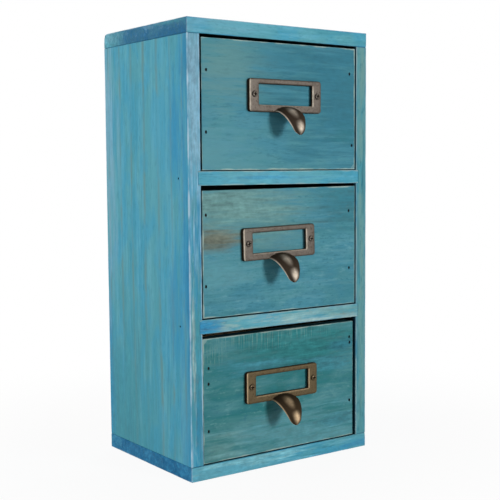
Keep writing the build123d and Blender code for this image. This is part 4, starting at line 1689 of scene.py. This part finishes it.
def finish_of(node):
    """The wood of a board: a stain of its own, or one of the two bare finishes that boards share."""
    if node in FINISHES:
        return stained_finish(node)
    stain = bpy.context.scene.chest_stain
    is_panel = SLOT_OF[node] == "panel_wood"
    name, body = ("bare_panels", stain.panel) if is_panel else ("bare_drawer_boards", stain.bare)
    return bpy.data.materials.get(name) or bare_finish(name, body)


def cast_metal(name, metal, hollows, rubbed):
    """Antique cast metal with dark hollows and rubbed edges, painted shade and painted highlights among
    them.
    """
    material, tree, shader = new_material(name)
    patina = use_group(
        tree,
        patina_group,
        "Cast patina",
        place=object_place(tree),
        rub=attribute(tree, "rub"),
        hollow=attribute(tree, "hollow"),
        metal=metal,
        patina=hollows,
        polished=rubbed,
    )
    feed(tree, shader.inputs["Base Color"], patina["Colour"])
    feed(tree, shader.inputs["Roughness"], patina["Roughness"])
    feed(tree, shader.inputs["Metallic"], patina["Metallic"])
    shader.inputs["Specular IOR Level"].default_value = METAL_SHINE
    shader.inputs["Specular Tint"].default_value = (*GRAZING_TINT, 1.0)
    add_relief(tree, shader, METAL_BUMP, patina["Height"])
    return material


def bronzes(kind, hollows):
    """Cast metal for each drawer's pull or screws: the bottom drawer's is more golden."""
    pulls = bpy.context.scene.chest_pulls
    plain = cast_metal(f"{kind}_bronze", pulls.bronze, hollows, pulls.polished)
    golden = cast_metal(f"{kind}_golden_bronze", pulls.golden_bronze, hollows, pulls.golden_polished)
    return {"top": plain, "middle": plain, "bottom": golden}


def nail_steel():
    """Dull steel with rust on it."""
    nails = bpy.context.scene.chest_nails
    material, tree, shader = new_material("blackened_nails")
    place = object_place(tree)
    rust = ramp(tree, noise(tree, scaled(tree, place, RUST_PER_METRE), detail=3.0), *RUST_RANGE)
    feed(tree, shader.inputs["Base Color"], blend(tree, rust, nails.steel, nails.rust))
    feed(tree, shader.inputs["Roughness"], maths(tree, "MULTIPLY_ADD", rust, *RUST_ROUGHNESS))
    feed(tree, shader.inputs["Metallic"], maths(tree, "MULTIPLY_ADD", rust, *RUST_METALNESS))
    shader.inputs["Specular IOR Level"].default_value = NAIL_SHINE
    return material


class CHEST_OT_case_boards(bpy.types.Operator):
    """Make the case: top, bottom, sides, shelves and back panel"""

    bl_idname = "chest.case_boards"
    bl_label = "Case Boards"

    def execute(self, context):
        for seed, board in enumerate(CASE_BOARDS, start=1):
            make_board(*board, seed)
        return {"FINISHED"}


class CHEST_OT_drawer_boards(bpy.types.Operator):
    """Make the three drawers: front, sides, rear and bottom of each"""

    bl_idname = "chest.drawer_boards"
    bl_label = "Drawer Boards"

    def execute(self, context):
        seed = len(CASE_BOARDS)
        for drawer in DRAWERS:
            for part, grain, let_in, nails in DRAWER_BOARDS:
                seed += 1
                node = f"{drawer}_drawer_{part}"
                held = [f"{drawer}_drawer_{piece}" for piece in let_in]
                make_board(node, grain, held, nails and f"{drawer}_drawer_{nails}", seed)
        return {"FINISHED"}


class CHEST_OT_label_pulls(bpy.types.Operator):
    """Cast the three label-frame pulls with their finger hooks"""

    bl_idname = "chest.label_pulls"
    bl_label = "Label Pulls"

    def execute(self, context):
        pulls = context.scene.chest_pulls
        casting = cast_pull_mesh(pulls)
        metals = bronzes("cast", pulls.patina)
        for drawer in DRAWERS:
            make_pull(drawer, casting, metals[drawer])
        return {"FINISHED"}


class CHEST_OT_pull_screws(bpy.types.Operator):
    """Make the round-head screws that hold the pulls"""

    bl_idname = "chest.pull_screws"
    bl_label = "Pull Screws"

    def execute(self, context):
        # The screws' hollows take the recess colour, painted shade
        metals = bronzes("screw", context.scene.chest_pulls.recess)
        for seed, drawer in enumerate(DRAWERS):
            make_screws(drawer, metals[drawer], seed)
        return {"FINISHED"}


class CHEST_OT_nails(bpy.types.Operator):
    """Make the nails of the case and the drawers"""

    bl_idname = "chest.nails"
    bl_label = "Nails"

    def execute(self, context):
        steel = nail_steel()
        drawer_nails = [f"{drawer}_drawer_{nails}" for drawer in DRAWERS for nails in DRAWER_NAILS]
        for node in [*CASE_NAILS, *drawer_nails]:
            make_nails(node, steel)
        return {"FINISHED"}


# Floor: its size, its paler tone over its own, its roughness, the distances between which it turns
# white, and how white it shows nearest the chest
FLOOR_SIZE = 8.0
FLOOR_PALER = 1.04
FLOOR_ROUGHNESS = 0.9
FLOOR_NEAR = 0.12
FLOOR_AWAY = 0.4
FLOOR_NEAR_WHITE = 0.93

# Plain white light
WHITE = {"Color": (1.0, 1.0, 1.0), "Strength": 1.0}

# Lights: where they stand, how wide they are, and what they point at
KEY_PLACE = (0.75, -2.2, 0.45)
FILL_PLACE = (-2.2, 0.45, 0.8)
BACK_PLACE = (1.7, 1.9, 1.1)
KEY_SIZE = 0.5
FILL_SIZE = 1.8
LIGHT_TARGET = (0.0, 0.0, 0.16)

# The photograph's viewpoint, solved from the chest's corners
CAMERA_PLACE = (-0.44962, -0.66025, 0.21981)
CAMERA_RIGHT = (0.8020, -0.5974, -0.0041)
CAMERA_DOWN = (-0.0552, -0.0673, -0.9962)
CAMERA_SHIFT = (-0.06, 0.012)
CAMERA_SENSOR = 36.0
CAMERA_CLIP = (0.01, 50.0)


def background_rays(tree):
    """1 for the rays that should see plain white: camera, glossy and transmitted ones."""
    rays = add_node(tree, "ShaderNodeLightPath").outputs
    seen = maths(tree, "MAXIMUM", rays["Is Camera Ray"], rays["Is Glossy Ray"])
    return maths(tree, "MAXIMUM", seen, rays["Is Transmission Ray"])


def add_softbox(name, place, size, level):
    """A square area light that adds a level of light to a surface facing it at the chest."""
    aim = Vector(LIGHT_TARGET) - Vector(place)
    lamp = bpy.data.lights.new(name, "AREA")
    lamp.shape, lamp.size = "SQUARE", size
    lamp.energy = level * pi * pi * aim.length_squared
    light = add_object(name, lamp)
    light.matrix_world = Matrix.Translation(place) @ aim.to_track_quat("-Z", "Y").to_matrix().to_4x4()


class CHEST_OT_stage(bpy.types.Operator):
    """Set the floor, the soft light and the camera"""

    bl_idname = "chest.stage"
    bl_label = "Stage"

    def execute(self, context):
        stage = context.scene.chest_stage
        context.scene.view_settings.view_transform = "Standard"
        self.add_world(context.scene, stage)
        self.add_floor(stage)
        add_softbox("key_light", KEY_PLACE, KEY_SIZE, stage.key)
        add_softbox("fill_light", FILL_PLACE, FILL_SIZE, stage.fill)
        add_softbox("back_light", BACK_PLACE, FILL_SIZE, stage.back)
        self.add_camera(context.scene, stage)
        return {"FINISHED"}

    def add_world(self, scene, stage):
        world = bpy.data.worlds.new("soft_studio")
        world.use_nodes = True
        tree = world.node_tree
        tree.nodes.clear()
        soft = add_node(tree, "ShaderNodeBackground", {**WHITE, "Strength": stage.ambient})
        white = add_node(tree, "ShaderNodeBackground", WHITE)
        shown = add_node(
            tree, "ShaderNodeMixShader", {0: background_rays(tree), 1: soft.outputs[0], 2: white.outputs[0]}
        )
        add_node(tree, "ShaderNodeOutputWorld", {"Surface": shown.outputs[0]})
        scene.world = world

    def add_floor(self, stage):
        material, tree, shader = new_material("pale_floor")
        place = object_place(tree)
        tone = noise(tree, scaled(tree, place, FLOOR_TONES_PER_METRE), detail=2.0)
        paler = tuple(min(1.0, FLOOR_PALER * part) for part in stage.floor)
        feed(tree, shader.inputs["Base Color"], blend(tree, tone, stage.floor, paler))
        shader.inputs["Roughness"].default_value = FLOOR_ROUGHNESS
        white = add_node(tree, "ShaderNodeEmission", WHITE)
        away = length_of(tree, place)
        whiteness = ramp(tree, away, FLOOR_NEAR, FLOOR_AWAY, FLOOR_NEAR_WHITE, 1.0)
        share = times(tree, background_rays(tree), whiteness)
        shown = add_node(tree, "ShaderNodeMixShader", {0: share, 1: shader.outputs[0], 2: white.outputs[0]})
        output = next(node for node in tree.nodes if node.type == "OUTPUT_MATERIAL")
        feed(tree, output.inputs["Surface"], shown.outputs[0])
        half = FLOOR_SIZE / 2
        mesh = bpy.data.meshes.new("floor")
        corners = [(-half, -half, 0), (half, -half, 0), (half, half, 0), (-half, half, 0)]
        mesh.from_pydata(corners, [], [(0, 1, 2, 3)])
        mesh.materials.append(material)
        floor = add_object("floor", mesh)

    def add_camera(self, scene, stage):
        right, up = Vector(CAMERA_RIGHT).normalized(), -Vector(CAMERA_DOWN).normalized()
        back = right.cross(up).normalized()
        up = back.cross(right)
        lens = bpy.data.cameras.new("camera")
        lens.sensor_width, lens.lens = CAMERA_SENSOR, stage.lens
        lens.shift_x, lens.shift_y = CAMERA_SHIFT
        lens.clip_start, lens.clip_end = CAMERA_CLIP
        camera = add_object("camera", lens)
        turn = Matrix((right, up, back)).transposed().to_4x4()
        camera.matrix_world = Matrix.Translation(CAMERA_PLACE) @ turn
        scene.camera = camera


OPERATORS = (
    CHEST_OT_case_boards,
    CHEST_OT_drawer_boards,
    CHEST_OT_label_pulls,
    CHEST_OT_pull_screws,
    CHEST_OT_nails,
    CHEST_OT_stage,
)


class CHEST_PT_sidebar(bpy.types.Panel):
    """Lists the chest's settings and the steps that make it"""

    bl_idname = "CHEST_PT_sidebar"
    bl_label = "Three-Drawer Chest"
    bl_space_type = "VIEW_3D"
    bl_region_type = "UI"
    bl_category = "Chest"

    def draw(self, context):
        for operator in OPERATORS:
            self.layout.operator(operator.bl_idname)
        for name, group in SETTINGS.items():
            box = self.layout.box()
            box.label(text=group.__doc__)
            for key in group.__annotations__:
                box.prop(getattr(context.scene, name), key)


CLASSES = (*SETTINGS.values(), *OPERATORS, CHEST_PT_sidebar)


def register():
    """Registers the classes and hangs the settings on the scene."""
    for kind in CLASSES:
        bpy.utils.register_class(kind)
    for name, group in SETTINGS.items():
        setattr(bpy.types.Scene, name, PointerProperty(type=group))


def unregister():
    """Takes the settings and classes away again."""
    for name in SETTINGS:
        delattr(bpy.types.Scene, name)
    for kind in reversed(CLASSES):
        bpy.utils.unregister_class(kind)


def main():
    """Makes the whole chest and its stage."""
    register()
    bpy.ops.chest.case_boards()
    bpy.ops.chest.drawer_boards()
    bpy.ops.chest.label_pulls()
    bpy.ops.chest.pull_screws()
    bpy.ops.chest.nails()
    bpy.ops.chest.stage()


if __name__ == "__main__":
    main()
